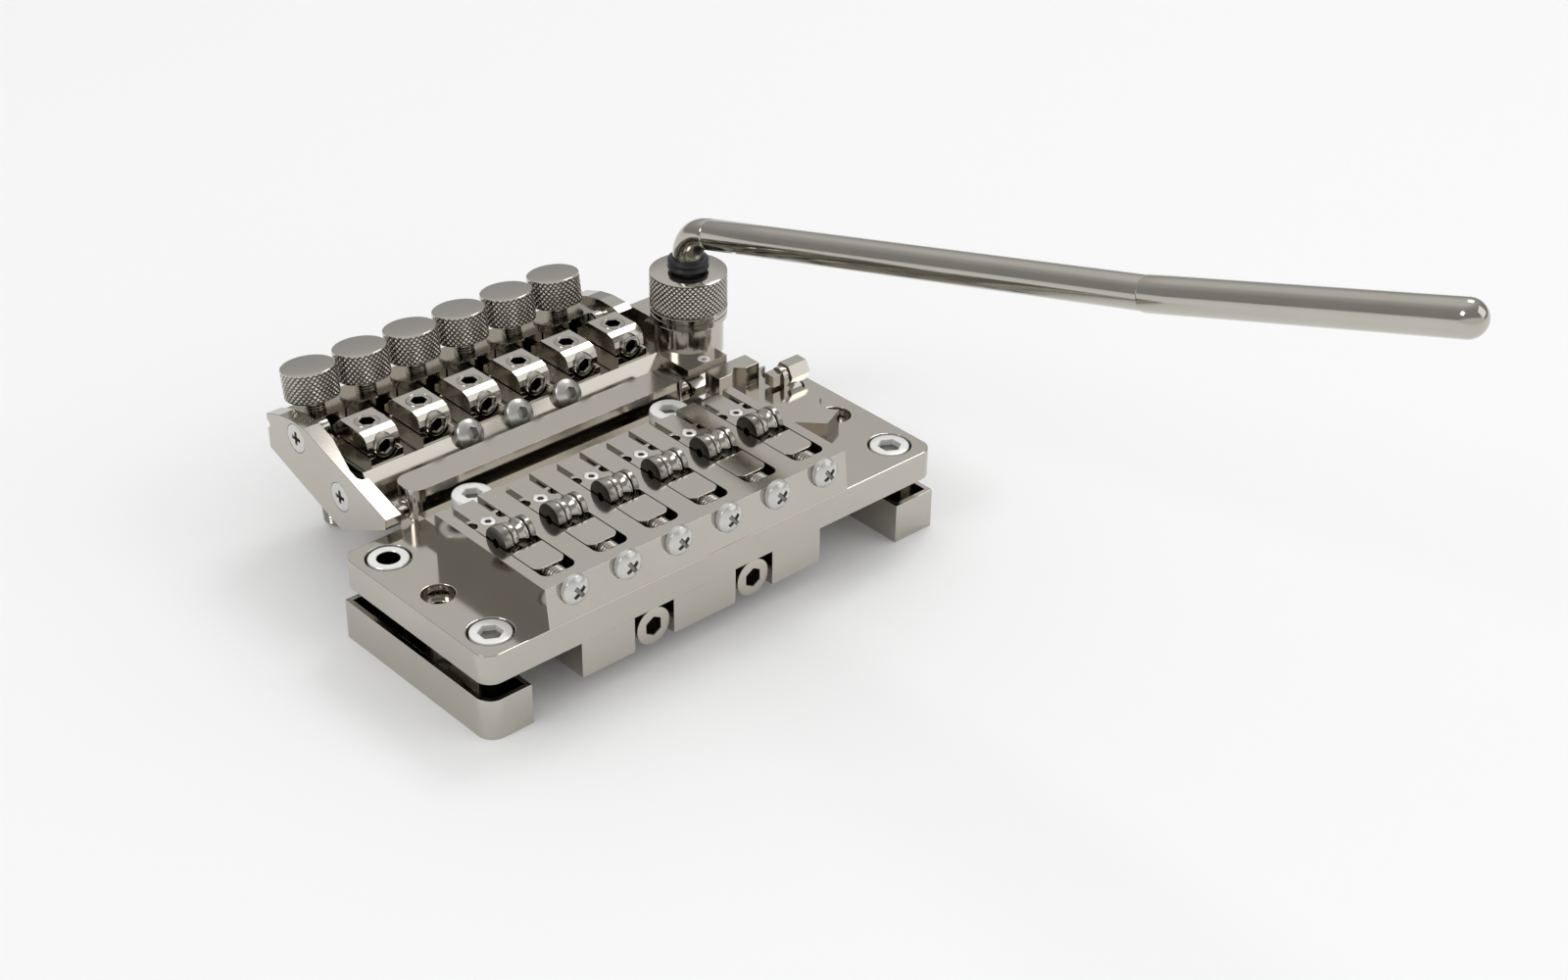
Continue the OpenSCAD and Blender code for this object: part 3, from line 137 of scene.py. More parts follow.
def islands(name):
    """A merged copy of a CAD node's mesh, one bmesh per loose part, largest box first."""
    merge_distance = 2e-6
    whole = bmesh.new()
    whole.from_mesh(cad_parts[name].data)
    bmesh.ops.remove_doubles(whole, verts=whole.verts, dist=merge_distance)
    whole.verts.ensure_lookup_table()
    seen, groups = set(), []
    for start in whole.verts:
        if start.index in seen:
            continue
        stack, group = [start], set()
        seen.add(start.index)
        while stack:
            v = stack.pop()
            group.add(v.index)
            for e in v.link_edges:
                w = e.other_vert(v)
                if w.index not in seen:
                    seen.add(w.index)
                    stack.append(w)
        groups.append(group)
    parts = []
    for group in groups:
        part = whole.copy()
        part.verts.ensure_lookup_table()
        others = [v for v in part.verts if v.index not in group]
        bmesh.ops.delete(part, geom=others, context="VERTS")
        parts.append(part)
    whole.free()
    box_volume = lambda part: np.ptp(np.array([v.co[:] for v in part.verts]), axis=0).prod()
    return sorted(parts, key=box_volume, reverse=True)


def edged(name, parts, body, material, break_mm, replaced):
    """Joins bmeshes and breaks their sharp edges by a small bevel, as a deburred part has. A
    face is shaded round only if it is narrow and meets a neighbour at a slight angle."""
    flat_angle, sharp_angle = math.radians(0.4), math.radians(32)
    least_turn, most_turn = math.radians(0.5), math.radians(12)
    narrow = 0.0012
    joined = bmesh.new()
    for part in parts:
        bmesh.ops.dissolve_limit(part, angle_limit=flat_angle, verts=part.verts,
                                 edges=part.edges, delimit={"NORMAL"})
        for face in part.faces:
            width = face.calc_area() / max(e.calc_length() for e in face.edges)
            turns = [e.calc_face_angle(0) for e in face.edges]
            face.smooth = width < narrow and any(least_turn < turn < most_turn for turn in turns)
        temp = bpy.data.meshes.new("temp")
        part.to_mesh(temp)
        joined.from_mesh(temp)
        bpy.data.meshes.remove(temp)
        part.free()
    mesh = bpy.data.meshes.new(name)
    joined.to_mesh(mesh)
    joined.free()
    piece = finish_mesh(name, mesh, body, [material], replaced)
    bevel = piece.modifiers.new("edge_break", "BEVEL")
    bevel.width = break_mm / 1000
    bevel.segments = 3
    bevel.limit_method = "ANGLE"
    bevel.angle_limit = sharp_angle
    return piece


def cad_edged(name, body, material, break_mm):
    """A CAD node copied whole, with its edges broken."""
    return edged(name + "_finished", islands(name), body, material, break_mm, name)


cad_edged("base_plate", "base", nickel, break_mm=0.2)

# Feet. Two milled steel trays, nickel plated, that stand under the plate's ends, with walls
# thin enough to leave a dark pocket, and turned steel spacers that carry the plate.
for name in ("left_foot", "right_foot"):
    cad_edged(name, "base", nickel, break_mm=0.2)
# The spacers are painted nearly black, with a dull brown sheen: painted shade, for the shade
# under the plate.
spacer_painted_shade = metal("spacer_steel_painted_shade", "#3B3936", "#2A2826", roughness=0.35, cloud_mm=5,
                      grain_mm=0.06, grain_height=0.003)
cad_edged("foot_spacers", "base", spacer_painted_shade, break_mm=0.1)


# Corner and frame screws. Zinc-plated socket screws: four sunk in the plate's counterbores, of
# which the one at the rear left is hollow, and two that stand on the frame's rear shelf.
round_steps = 72


def lathe(rows, steps=round_steps):
    """Surface of turning: row k is a ring of radius R_k(angle) at height Z_k, angle running
    round +Z. A row of radius 0 closes the end. Radii may be numbers or one value per step."""
    angle = np.arange(steps) * 2 * np.pi / steps
    radius = np.array([np.broadcast_to(r, steps) for r, z in rows], float)
    height = np.array([np.broadcast_to(z, steps) for r, z in rows], float)
    return np.stack([radius * np.cos(angle), radius * np.sin(angle), height], axis=-1)


def hexagon(across):
    """Radius of a hexagon by angle: (across/2) / cos(angle from the nearest flat's middle)."""
    angle = np.arange(round_steps) * 2 * np.pi / round_steps
    return across / 2 / np.cos((angle + np.pi / 6) % (np.pi / 3) - np.pi / 6)


def stand(points, at, axis=(0, 0, 1)):
    """Turns +Z of a surface onto an axis and moves its origin to a point, in millimetres. A
    surface that stays upright is turned half round +Z."""
    turn = np.array(Vector(axis).to_track_quat("Z", "Y").to_matrix())
    return points @ turn.T + np.array(at, float)


def surface(name, sheets, body, materials, sharp_degrees, replaced=None):
    """Joins sheets of (rows, steps, 3) points in mm, each closed round its steps, into one
    mesh: quad (k, j) spans rows k, k+1 and steps j, j+1. A sheet may name a material for
    all its quads, or list one for each row of quads, as a number or one number per step."""
    merge_distance = 1e-7
    verts, faces, index, start = [], [], [], 0
    for sheet in sheets:
        points, material = sheet if isinstance(sheet, tuple) else (sheet, 0)
        rows, steps = points.shape[:2]
        k, j = np.meshgrid(np.arange(rows - 1), np.arange(steps), indexing="ij")
        n = (j + 1) % steps
        faces.append(start + np.stack([k * steps + j, k * steps + n, (k + 1) * steps + n,
                                       (k + 1) * steps + j], axis=-1).reshape(-1, 4))
        index += [np.broadcast_to(m, steps) for m in
                  (material if isinstance(material, list) else [material] * (rows - 1))]
        verts.append(points.reshape(-1, 3) / 1000)
        start += rows * steps
    mesh = bpy.data.meshes.new(name)
    mesh.from_pydata(np.concatenate(verts).tolist(), [], np.concatenate(faces).tolist())
    mesh.polygons.foreach_set("material_index", np.concatenate(index).astype(np.int32))
    work = bmesh.new()
    work.from_mesh(mesh)
    bmesh.ops.remove_doubles(work, verts=work.verts, dist=merge_distance)
    bmesh.ops.recalc_face_normals(work, faces=work.faces)
    for face in work.faces:
        face.smooth = True
    work.to_mesh(mesh)
    work.free()
    piece = finish_mesh(name, mesh, body, materials, replaced)
    mesh.set_sharp_from_angle(angle=math.radians(sharp_degrees))
    return piece


# A clear passivate over the zinc scatters some of the light, which gives the white of its
# rings. Sockets and cross recesses are painted a dull grey, as painted shade. A deep bore or a
# small socket is painted nearly black, as deeper painted shade.
screw_zinc = metal("bright_zinc_plate", "#F6F5F3", "#ECEBE8", roughness=0.2, cloud_mm=3,
                   metallic=0.4)
socket_painted_shade = metal("screw_socket_painted_shade", "#8C8A86", "#7A7874", roughness=0.3, cloud_mm=3)
deep_recess_painted_shade = metal("recess_painted_shade", "#1E1D1B", "#141312", roughness=0.45, cloud_mm=4,
                     grain_mm=0.06)


def socket_screw(radius, height, shank, length, across, depth, edge):
    """Rows of a socket screw about +Z, its head's top at 0: recess, flat, edge, head, shank.
    Also the materials of its rows of quads: 1 in the floor of the recess, 0 elsewhere."""
    mouth = 0.12
    six = hexagon(across)
    rows = [(0, -depth), (six, -depth), (six, -mouth), (six + mouth, 0), (radius - edge, 0),
            (radius - edge * 0.3, -edge * 0.3), (radius, -edge), (radius, -height),
            (shank, -height), (shank, -height - length), (0, -height - length)]
    return lathe(rows), [1] + [0] * 9


plate_top = 16
corner_places = [(x, y) for x in (-42.7, 42.7) for y in (-13.7, 13.7)]
hollow_place = (-42.7, 13.7)
plain_screw = socket_screw(radius=3.38, height=2.6, shank=2.0, length=12.6, across=3.6,
                           depth=1.1, edge=0.12)
hollow_screw = (lathe([(0, -2.3), (1.95, -2.3), (1.95, -0.1), (2.05, 0), (3.26, 0),
                       (3.38, -0.12), (3.38, -2.6), (2.0, -2.6), (2.0, -15.2), (0, -15.2)]),
                [2, 2] + [0] * 7)
sheets = []
for x, y in corner_places:
    rows, index = hollow_screw if (x, y) == hollow_place else plain_screw
    sheets.append((stand(rows, (x, y, plate_top)), index))
surface("corner_screws_finished", sheets, "base", [screw_zinc, socket_painted_shade, deep_recess_painted_shade],
        sharp_degrees=30, replaced="corner_screws")

frame_screw_x = (-25.15, 16.85)
frame_screw_y = 14.6
frame_screw_top = 20.7
rows, index = socket_screw(radius=3.5, height=2.0, shank=2.0, length=7.3, across=3.0,
                           depth=1.2, edge=0.5)
sheets = [(stand(rows, (x, frame_screw_y, frame_screw_top)), index) for x in frame_screw_x]
surface("frame_screws_finished", sheets, "base", [screw_zinc, socket_painted_shade],
        sharp_degrees=30, replaced="frame_screws")

# Saddle frame. One milled steel block with six channels and a low shelf behind, nickel plated
# and held to the plate by the two frame screws.
cad_edged("saddle_frame", "base", nickel, break_mm=0.15)


# Intonation screws. Pan-head steel screws with a cross recess, zinc plated, that set the
# saddles. Their shanks carry the small coil springs that push the saddles back.
def cross(reach, half_width):
    """Radius of a plus sign by angle: the nearer of the arm's end and the arm's flank."""
    angle = np.arange(round_steps) * 2 * np.pi / round_steps
    from_arm = (angle + np.pi / 4) % (np.pi / 2) - np.pi / 4
    return np.minimum(reach / np.cos(from_arm),
                      half_width / np.maximum(np.abs(np.sin(from_arm)), 1e-6))


def pan_head(radius, height, shank, length, depth):
    """Rows of a pan head about +Z, seated at 0: cross recess, a crown at height
    - 0.9 (r/radius)^2.6, rim and shank. Also the materials of its rows: 1 in the recess."""
    arms = cross(radius * 0.5, radius * 0.15)
    recess_floor = cross(radius * 0.36, radius * 0.1)
    crown = lambda r: height - 0.9 * (r / radius) ** 2.6
    rows = [(0, height - depth), (recess_floor, height - depth), (arms, crown(arms) - 0.02),
            (arms * 1.05 + 0.04, crown(arms * 1.05 + 0.04))]
    rows += [(radius * k, crown(radius * k)) for k in (0.6, 0.7, 0.8, 0.88, 0.94, 0.98)]
    rows += [(radius, height - 1.05), (radius, 0.1), (radius * 0.98, 0), (shank, 0),
             (shank, -length), (0, -length)]
    return lathe(rows), [1, 1] + [0] * 13


# Brushing before the plating leaves zinc a greyer, softer mirror than the corner screws have.
brushed_zinc = metal("brushed_zinc_plate", "#D3D2CE", "#C9C8C4", roughness=0.22, cloud_mm=3,
                     grain_height=0.003, metallic=0.6)
string_pitch = 10.5
string_x = [-30.4 + string_pitch * i for i in range(6)]
intonation_seat_y = -18.61
intonation_z = 21.2
rows, index = pan_head(radius=2.55, height=2.05, shank=1.25, length=11.2, depth=0.45)
for i, x in enumerate(string_x):
    # Each recess has stopped at a slightly different turn.
    turn = math.radians(38 + 3 * math.sin(5 * i))
    spin = np.array([[math.cos(turn), -math.sin(turn), 0],
                     [math.sin(turn), math.cos(turn), 0],
                     [0, 0, 1]])
    place = (x, intonation_seat_y, intonation_z)
    surface("intonation_screw_%d_finished" % (i + 1),
            [(stand(rows @ spin.T, place, (0, -1, 0)), index)],
            "intonation_%d" % (i + 1), [brushed_zinc, socket_painted_shade],
            sharp_degrees=35, replaced="intonation_screw_%d" % (i + 1))


# Saddles. Milled steel blocks, nickel plated, that slide in the frame's channels, each with a
# grub screw that sets its height and an axle whose left end is painted dark, as painted shade,
# and shows a small socket.
def main_part(name):
    """The largest loose part of a CAD node's mesh. The others are freed."""
    largest, *others = islands(name)
    for part in others:
        part.free()
    return largest


# Ground steel is a darker, finer mirror than the plating. The axle's end disc faces left and is
# painted a smoky dark grey mirror: painted shade.
axle_steel = metal("ground_axle_steel", "#A39F98", "#948F88", roughness=0.2, cloud_mm=3)
disc_painted_shade = metal("axle_disc_painted_shade", "#67635E", "#5B5752", roughness=0.25, cloud_mm=3)
roller_y = -3.2
roller_z = 23.1
grub_y = 3.0
saddle_top = 23.0
half_axle = 3.05
grub, grub_index = socket_screw(radius=1.23, height=0.3, shank=1.23, length=5.6, across=1.0,
                                depth=0.8, edge=0.12)
grub_index = [4, 1] + [4] * (len(grub_index) - 2)
axle = lathe([(0, -0.9), (hexagon(1.4), -0.9), (hexagon(1.4), 0), (2.55, 0), (2.7, -0.05),
              (2.75, -0.16), (2.75, -1.46), (2.6, -1.6), (0.8, -1.6), (0.8, -5.1),
              (2.45, -5.1), (2.6, -5.24), (2.6, -5.94), (2.45, -6.1), (0, -6.1)])
axle_index = [3, 3, 2, 2] + [0] * 10
for i, x in enumerate(string_x):
    body = "saddle_%d" % (i + 1)
    edged(body + "_block", [main_part(body)], body, nickel, break_mm=0.12,
          replaced=body)
    surface(body + "_axle_and_grub",
            [(stand(grub, (x, grub_y, saddle_top)), grub_index),
             (stand(axle, (x - half_axle, roller_y, roller_z), (-1, 0, 0)), axle_index)],
            body, [axle_steel, socket_painted_shade, disc_painted_shade, deep_recess_painted_shade, screw_zinc],
            sharp_degrees=30)

# Rollers. Turned steel rollers on the saddles' axles, with a vee groove for the string and a
# fine line each side. Fine turning leaves the bare steel a bright, warm mirror.
roller_steel = metal("turned_roller_steel", "#C9C5BD", "#B7B3AB", roughness=0.14, cloud_mm=4)
roller_start = -1.25
roller = lathe([(0.85, 0), (2.35, 0), (2.5, 0.1), (2.6, 0.3), (2.6, 0.5), (2.48, 0.56),
                (2.6, 0.62), (2.58, 0.8), (1.95, 1.45), (1.9, 1.55), (1.95, 1.65), (2.58, 2.3),
                (2.6, 2.48), (2.48, 2.54), (2.6, 2.6), (2.6, 2.8), (2.5, 3.0), (2.35, 3.1),
                (0.85, 3.1), (0.85, 0)], steps=64)
for i, x in enumerate(string_x):
    place = (x + roller_start, roller_y, roller_z)
    surface("roller_%d_finished" % (i + 1), [stand(roller, place, (1, 0, 0))],
            "roller_%d" % (i + 1), [roller_steel], sharp_degrees=24,
            replaced="roller_%d" % (i + 1))


# Springs. Cold-wound music wire with ground ends: six short ones on the intonation screws
# and two long ones that pull the tail back.
def coil(at, length, turns, radius, wire, steps_per_turn=20, sides=10):
    """Tube round a helix along +Y: the centre line is at + (R cos a, L a/(2 pi n), R sin a), and
    the tube's ring is wire/2 (cos b outward + sin b across)."""
    count = int(turns * steps_per_turn) + 1
    a = np.linspace(0, 2 * np.pi * turns, count)
    rise = wire / 2 + (length - wire) * a / a[-1]
    centre = np.stack([radius * np.cos(a), rise, radius * np.sin(a)], axis=-1)
    tangent = np.gradient(centre, axis=0)
    tangent /= np.linalg.norm(tangent, axis=1, keepdims=True)
    outward = np.stack([np.cos(a), np.zeros(count), np.sin(a)], axis=-1)
    across = np.cross(tangent, outward)
    b = np.arange(sides) * 2 * np.pi / sides
    ring = wire / 2 * (np.cos(b)[None, :, None] * outward[:, None]
                       + np.sin(b)[None, :, None] * across[:, None])
    tube = centre[:, None] + ring
    ends = [np.repeat(centre[[k]][:, None], sides, axis=1) for k in (0, -1)]
    return np.concatenate([ends[0], tube, ends[1]]) + np.array(at, float)


# Drawing through a die leaves the wire a bright, slightly blurred skin.
spring_wire = metal("music_wire", "#D2CDC4", "#BDB8AF", roughness=0.2, cloud_mm=2,
                    grain_height=0.003)
saddle_spring_y = -16.05
tension_x = (-14.8, 6.5)
tension_z = 7.1
tension_spring_y = -2.7
saddle_coils = [coil((x, saddle_spring_y, intonation_z), length=2.4, turns=3.1, radius=1.65,
                     wire=0.55) for x in string_x]
tension_coils = [coil((x, tension_spring_y, tension_z), length=32.8, turns=23, radius=2.7,
                      wire=0.9) for x in tension_x]
surface("saddle_springs_wound", saddle_coils, "base", [spring_wire],
        sharp_degrees=60, replaced="saddle_springs")
surface("tension_springs_wound", tension_coils, "base", [spring_wire],
        sharp_degrees=60, replaced="tension_springs")

# Spring block and pivot block. Milled steel, nickel plated and screwed up under the plate. The
# first holds the tension screws, which carry the springs' anchors, and the second holds the
# pins that the tail turns on.
cad_edged("spring_block", "base", nickel, break_mm=0.12)
cad_edged("pivot_block", "base", nickel, break_mm=0.2)
tension_head_y = -19.2
rows, index = socket_screw(radius=3.45, height=4.0, shank=2.0, length=12.2, across=3.0,
                           depth=1.6, edge=0.4)
for i, x in enumerate(tension_x):
    surface("tension_screw_%d_finished" % (i + 1),
            [(stand(rows, (x, tension_head_y, tension_z), (0, -1, 0)), index)],
            "tension_%d" % (i + 1), [nickel, deep_recess_painted_shade],
            sharp_degrees=30, replaced="tension_screw_%d" % (i + 1))
for name, plating in (("spring_anchors", nickel), ("block_screws", screw_zinc),
                      ("pivot_pins", nickel), ("pivot_washers", nickel)):
    cad_edged(name, "base", plating, break_mm=0.08)

# Tilt lock. A plate with a nose and an upright block, flat on the base plate, and a
# hexagon-headed screw that holds the tail still. All are milled steel, nickel plated.
cad_edged("lock_plate", "base", nickel, break_mm=0.15)
cad_edged("lock_screw", "lock", nickel, break_mm=0.12)

# Tail. The milled steel block that holds the strings, between two side plates, all nickel
# plated. Flat screws with a cross recess hold the plates, three domed screws with hexagon
# sockets stand between the middle clamps, and one rod carries all six clamps.
cad_edged("tail_body", "tail", nickel, break_mm=0.18)
for name in ("left_side_plate", "right_side_plate"):
    cad_edged(name, "tail", nickel, break_mm=0.2)
side_faces = ((-1, -38.8), (1, 30.5))
side_screw_places = ((45.6, 22.4), (33.3, 16.6))
arms = cross(1.25, 0.36)
recess_floor = cross(0.85, 0.22)
flat_screw = lathe([(0, -0.6), (recess_floor, -0.6), (arms, -0.02), (arms + 0.05, 0), (2.4, 0),
                    (2.52, -0.04), (2.58, -0.14), (2.6, -1.2), (1.3, -1.2), (1.3, -5.9),
                    (0, -5.9)])
flat_index = [1, 1] + [0] * 8
sheets = [(stand(flat_screw, (x, y, z), (side, 0, 0)), flat_index)
          for side, x in side_faces for y, z in side_screw_places]
surface("side_plate_screws_finished", sheets, "tail", [brushed_zinc, socket_painted_shade],
        sharp_degrees=30, replaced="side_plate_screws")

# Blasting before the plating leaves the domes matt, a soft white that mirrors nothing sharply.
dome_zinc = metal("blasted_zinc_plate", "#DEDCD7", "#D2D0CB", roughness=0.33, cloud_mm=3,
                  grain_height=0.004)
dome_x = (-14.65, -4.15, 6.35)
dome_seat = (30.266, 20.706)
dome_lean = math.radians(32)
dome_height = 2.2
dome_ball = 3.816
six = hexagon(2.0)
crown = lambda r: dome_height - dome_ball + np.sqrt(dome_ball ** 2 - r ** 2)
rows = [(0, 1.0), (six, 1.0), (six, crown(six)), (six + 0.08, crown(six + 0.08))]
rows += [(r, crown(r)) for r in (1.5, 1.8, 2.1, 2.4, 2.6)]
rows += [(2.65, 1.05), (2.65, 0.1), (2.5, 0), (1.4, 0), (1.4, -6), (0, -6)]
dome_axis = (0, -math.cos(dome_lean), math.sin(dome_lean))
dome_index = [1, 0] + [0] * 12
sheets = [(stand(lathe(rows), (x, *dome_seat), dome_axis), dome_index) for x in dome_x]
surface("dome_screws_finished", sheets, "tail", [dome_zinc, socket_painted_shade],
        sharp_degrees=35, replaced="dome_screws")
cad_edged("clamp_pivot_rod", "tail", nickel, break_mm=0.05)

# Clamps. Milled steel jaws that rock and hold the strings' ends, each with a turned
# string barrel in front and a set screw on top, both with dark hexagon sockets. The plate on
# the turned pieces is the same warm mirror as on the jaws, with finer clouds.
clamp_ring = metal("plated_barrel", "#C2BDB4", "#B3AEA5", roughness=0.12, cloud_mm=3)
barrel_place = (31.2, 24.1)
clamp_screw_place = (36.4, 26.74)
barrel_six = hexagon(2.1)
screw_six = hexagon(2.5)
barrel = lathe([(0, -1.3), (barrel_six, -1.3), (barrel_six, -0.35), (barrel_six + 0.25, 0),
                (1.75, 0), (1.95, -0.08), (2.06, -0.25), (2.08, -2.95), (0, -2.95)])
clamp_screw = lathe([(0, -1.1), (screw_six, -1.1), (screw_six, -0.05), (screw_six + 0.05, 0),
                     (1.75, 0), (1.8, -0.1), (1.88, -0.1), (1.93, 0), (2.1, 0), (2.18, -0.1),
                     (2.18, -1.55), (0, -1.55)])
barrel_index = [1, 1] + [0] * 6
# The sockets and the set screw's hidden underside take the deep painted shade.
clamp_screw_index = [1, 1] + [0] * 8 + [1]
for i, x in enumerate(string_x):
    body = "clamp_%d" % (i + 1)
    edged(body + "_jaw", [main_part(body)], body, nickel, break_mm=0.14,
          replaced=body)
    surface(body + "_barrel_and_grub",
            [(stand(barrel, (x, *barrel_place), (0, -1, 0)), barrel_index),
             (stand(clamp_screw, (x, *clamp_screw_place)), clamp_screw_index)],
            body, [clamp_ring, deep_recess_painted_shade], sharp_degrees=30)


# Tuning knobs. Turned brass, nickel plated, with a diamond knurl that is drawn coarser and
# deeper than it would be cut, so that it shows. Each sits on a steel shaft with a 0.5 mm
# thread, whose collar pushes a clamp's heel.
cell_steps = 8
thread_pitch = 0.5


def knurl(radius, low, high, around, depth):
    """Rows of a knurled band: radius - depth (1 - min(tri(u + v), tri(u - v))), where u counts
    diamonds round the band, v counts them along it, and tri is a triangle wave from 0 to 1.
    Also, for each row of quads, 1 at the steps that lie in a groove and 2 on a crest."""
    run_out = 0.18
    groove_share = 0.3
    cell = 2 * np.pi * radius / around
    height = np.linspace(low, high, int(round((high - low) / cell * cell_steps)) + 1)
    u = (np.arange(around * cell_steps) / cell_steps)[None, :]
    v = ((height - low) / cell)[:, None]
    tri = lambda t: 1 - np.abs(2 * (t % 1) - 1)
    form = np.minimum(tri(u + v), tri(u - v))
    fade = np.clip(np.minimum(height - low, high - height) / run_out, 0, 1)[:, None]
    r = radius - depth * (1 - form) * fade - depth * 0.5 * (1 - fade)
    # Groove steps are given the painted shade and crest steps the painted highlight.
    marks = np.where(form * fade < groove_share, 1, 2)
    return list(zip(r, height)), list(marks[:-1])


def screw_thread(radius, low, high, depth, steps, per_turn=6):
    """Rows of a vee thread: radius - depth tri(height/pitch - angle/2 pi)."""
    height = np.linspace(low, high, int((high - low) / thread_pitch * per_turn) + 1)
    turn = np.arange(steps) / steps
    phase = (height[:, None] / thread_pitch - turn[None, :]) % 1
    return list(zip(radius - depth * (1 - np.abs(2 * phase - 1)), height))


# A knurl's crests catch light from all round and its grooves mirror one another, so the crests
# are painted pale, a painted highlight, and the grooves dark, painted shade. Both are drawn
# stronger than real, because they are small in the picture.
crest_painted_highlight = metal("knurl_crests_painted_highlight", "#E4DFD5", "#D8D3C9", roughness=0.2,
                     cloud_mm=4)
groove_painted_shade = metal("knurl_grooves_painted_shade", "#67625B", "#5C5750", roughness=0.35,
                      cloud_mm=4)
knob_cells = 31
shaft_steps = 24
knob_place = (52.832, 23.226)
knob_lean = math.radians(8)
knob_axis = (0, math.sin(knob_lean), math.cos(knob_lean))
band, marks = knurl(radius=4.9, low=1.55, high=6.62, around=knob_cells, depth=0.22)
head = lathe([(1.9, 1.4), (4.75, 1.4)] + band
             + [(4.75, 6.78), (4.6, 6.87), (4.4, 6.9), (0, 6.9)], steps=knob_cells * cell_steps)
head_index = [0, 0] + marks + [0] * 4
lower_thread = screw_thread(radius=1.9, low=-22.4, high=-9.2, depth=0.22, steps=shaft_steps)
upper_thread = screw_thread(radius=1.9, low=-7.8, high=1.4, depth=0.12, steps=shaft_steps)
shaft = lathe([(0, -22.78), (1.5, -22.78)] + lower_thread
              + [(3.1, -9.155), (3.25, -9.05), (3.25, -7.95), (3.1, -7.855), (1.85, -7.855)]
              + upper_thread, steps=shaft_steps)
for i, x in enumerate(string_x):
    place = (x, *knob_place)
    surface("knob_%d_finished" % (i + 1),
            [(stand(head, place, knob_axis), head_index), stand(shaft, place, knob_axis)],
            "tuner_%d" % (i + 1), [nickel, groove_painted_shade, crest_painted_highlight],
            sharp_degrees=28, replaced="knob_%d" % (i + 1))

# Arm block and lug screw. A milled steel block, nickel plated, on the right side plate: it
# carries the arm, and a small zinc-plated grub screw sits in its lug.
cad_edged("arm_block", "tail", nickel, break_mm=0.12)
lug_screw_at = (32.4, 23.5, 21.2)
rows, index = socket_screw(radius=1.2, height=0.3, shank=1.2, length=1.4, across=1.0, depth=0.5,
                           edge=0.12)
surface("lug_screw_finished", [(stand(rows, lug_screw_at), index)], "tail",
        [screw_zinc, socket_painted_shade], sharp_degrees=30, replaced="lug_screw")

# Collar nut and bush. A knurled brass collar, nickel plated, that screws on the arm block's
# neck and holds the arm in, and the moulded rubber bush that gives the arm its drag.
arm_foot = (35.4, 31.2, 0)
collar_cells = 45
band, marks = knurl(radius=7.05, low=28.6, high=34.85, around=collar_cells, depth=0.2)
rows = ([(2.95, 27.0), (2.95, 34.7), (3.1, 35.05), (6.75, 35.05), (6.95, 34.95)] + band[::-1]
        + [(6.9, 28.45), (6.9, 28.3), (7.02, 28.2), (7.02, 27.6), (6.75, 27.45), (6.75, 27.3),
           (6.98, 27.15), (6.98, 26.2), (6.8, 25.9), (6.6, 25.85), (4.68, 25.85), (4.68, 33.7),
           (2.95, 33.7)])
collar = lathe(rows, steps=collar_cells * cell_steps)
collar_index = [0] * 5 + marks[::-1] + [0] * 13
surface("collar_nut_finished", [(stand(collar, arm_foot), collar_index)], "collar",
        [nickel, groove_painted_shade, crest_painted_highlight], sharp_degrees=28,
        replaced="collar_nut")

# Moulded nitrile rubber is nearly black, with a soft sheen from the mould's fine grain.
rubber, rubber_out = new_material("black_nitrile_rubber")
rubber_grain_mm = 0.4
rubber_grain_height = 0.03
place = node(rubber, "ShaderNodeTexCoord").outputs["Object"]
grain = node(rubber, "ShaderNodeTexNoise", {"Scale": 1000 / rubber_grain_mm, "Detail": 3.0},
             {"Vector": place})
bump = node(rubber, "ShaderNodeBump",
            {"Strength": 0.3, "Distance": rubber_grain_height / 1000},
            {"Height": grain.outputs["Fac"]})
shader = node(rubber, "ShaderNodeBsdfPrincipled",
              {"Base Color": linear("#1B1B1D"), "Roughness": 0.42}, {"Normal": bump.outputs[0]})
rubber.node_tree.links.new(shader.outputs["BSDF"], rubber_out.inputs["Surface"])
bulge = np.linspace(0, np.pi, 9)
rows = ([(2.82, 35.35), (3.3, 35.35)]
        + [(3.4 + 0.35 * math.sin(t), 35.4 + 1.05 * t / math.pi) for t in bulge]
        + [(3.4 + 0.35 * math.sin(t), 36.5 + 1.1 * t / math.pi) for t in bulge]
        + [(3.2, 37.65), (2.82, 37.6), (2.82, 35.35)])
surface("arm_bush_finished", [stand(lathe(rows, steps=64), arm_foot)], "arm", [rubber],
        sharp_degrees=50, replaced="arm_bush")


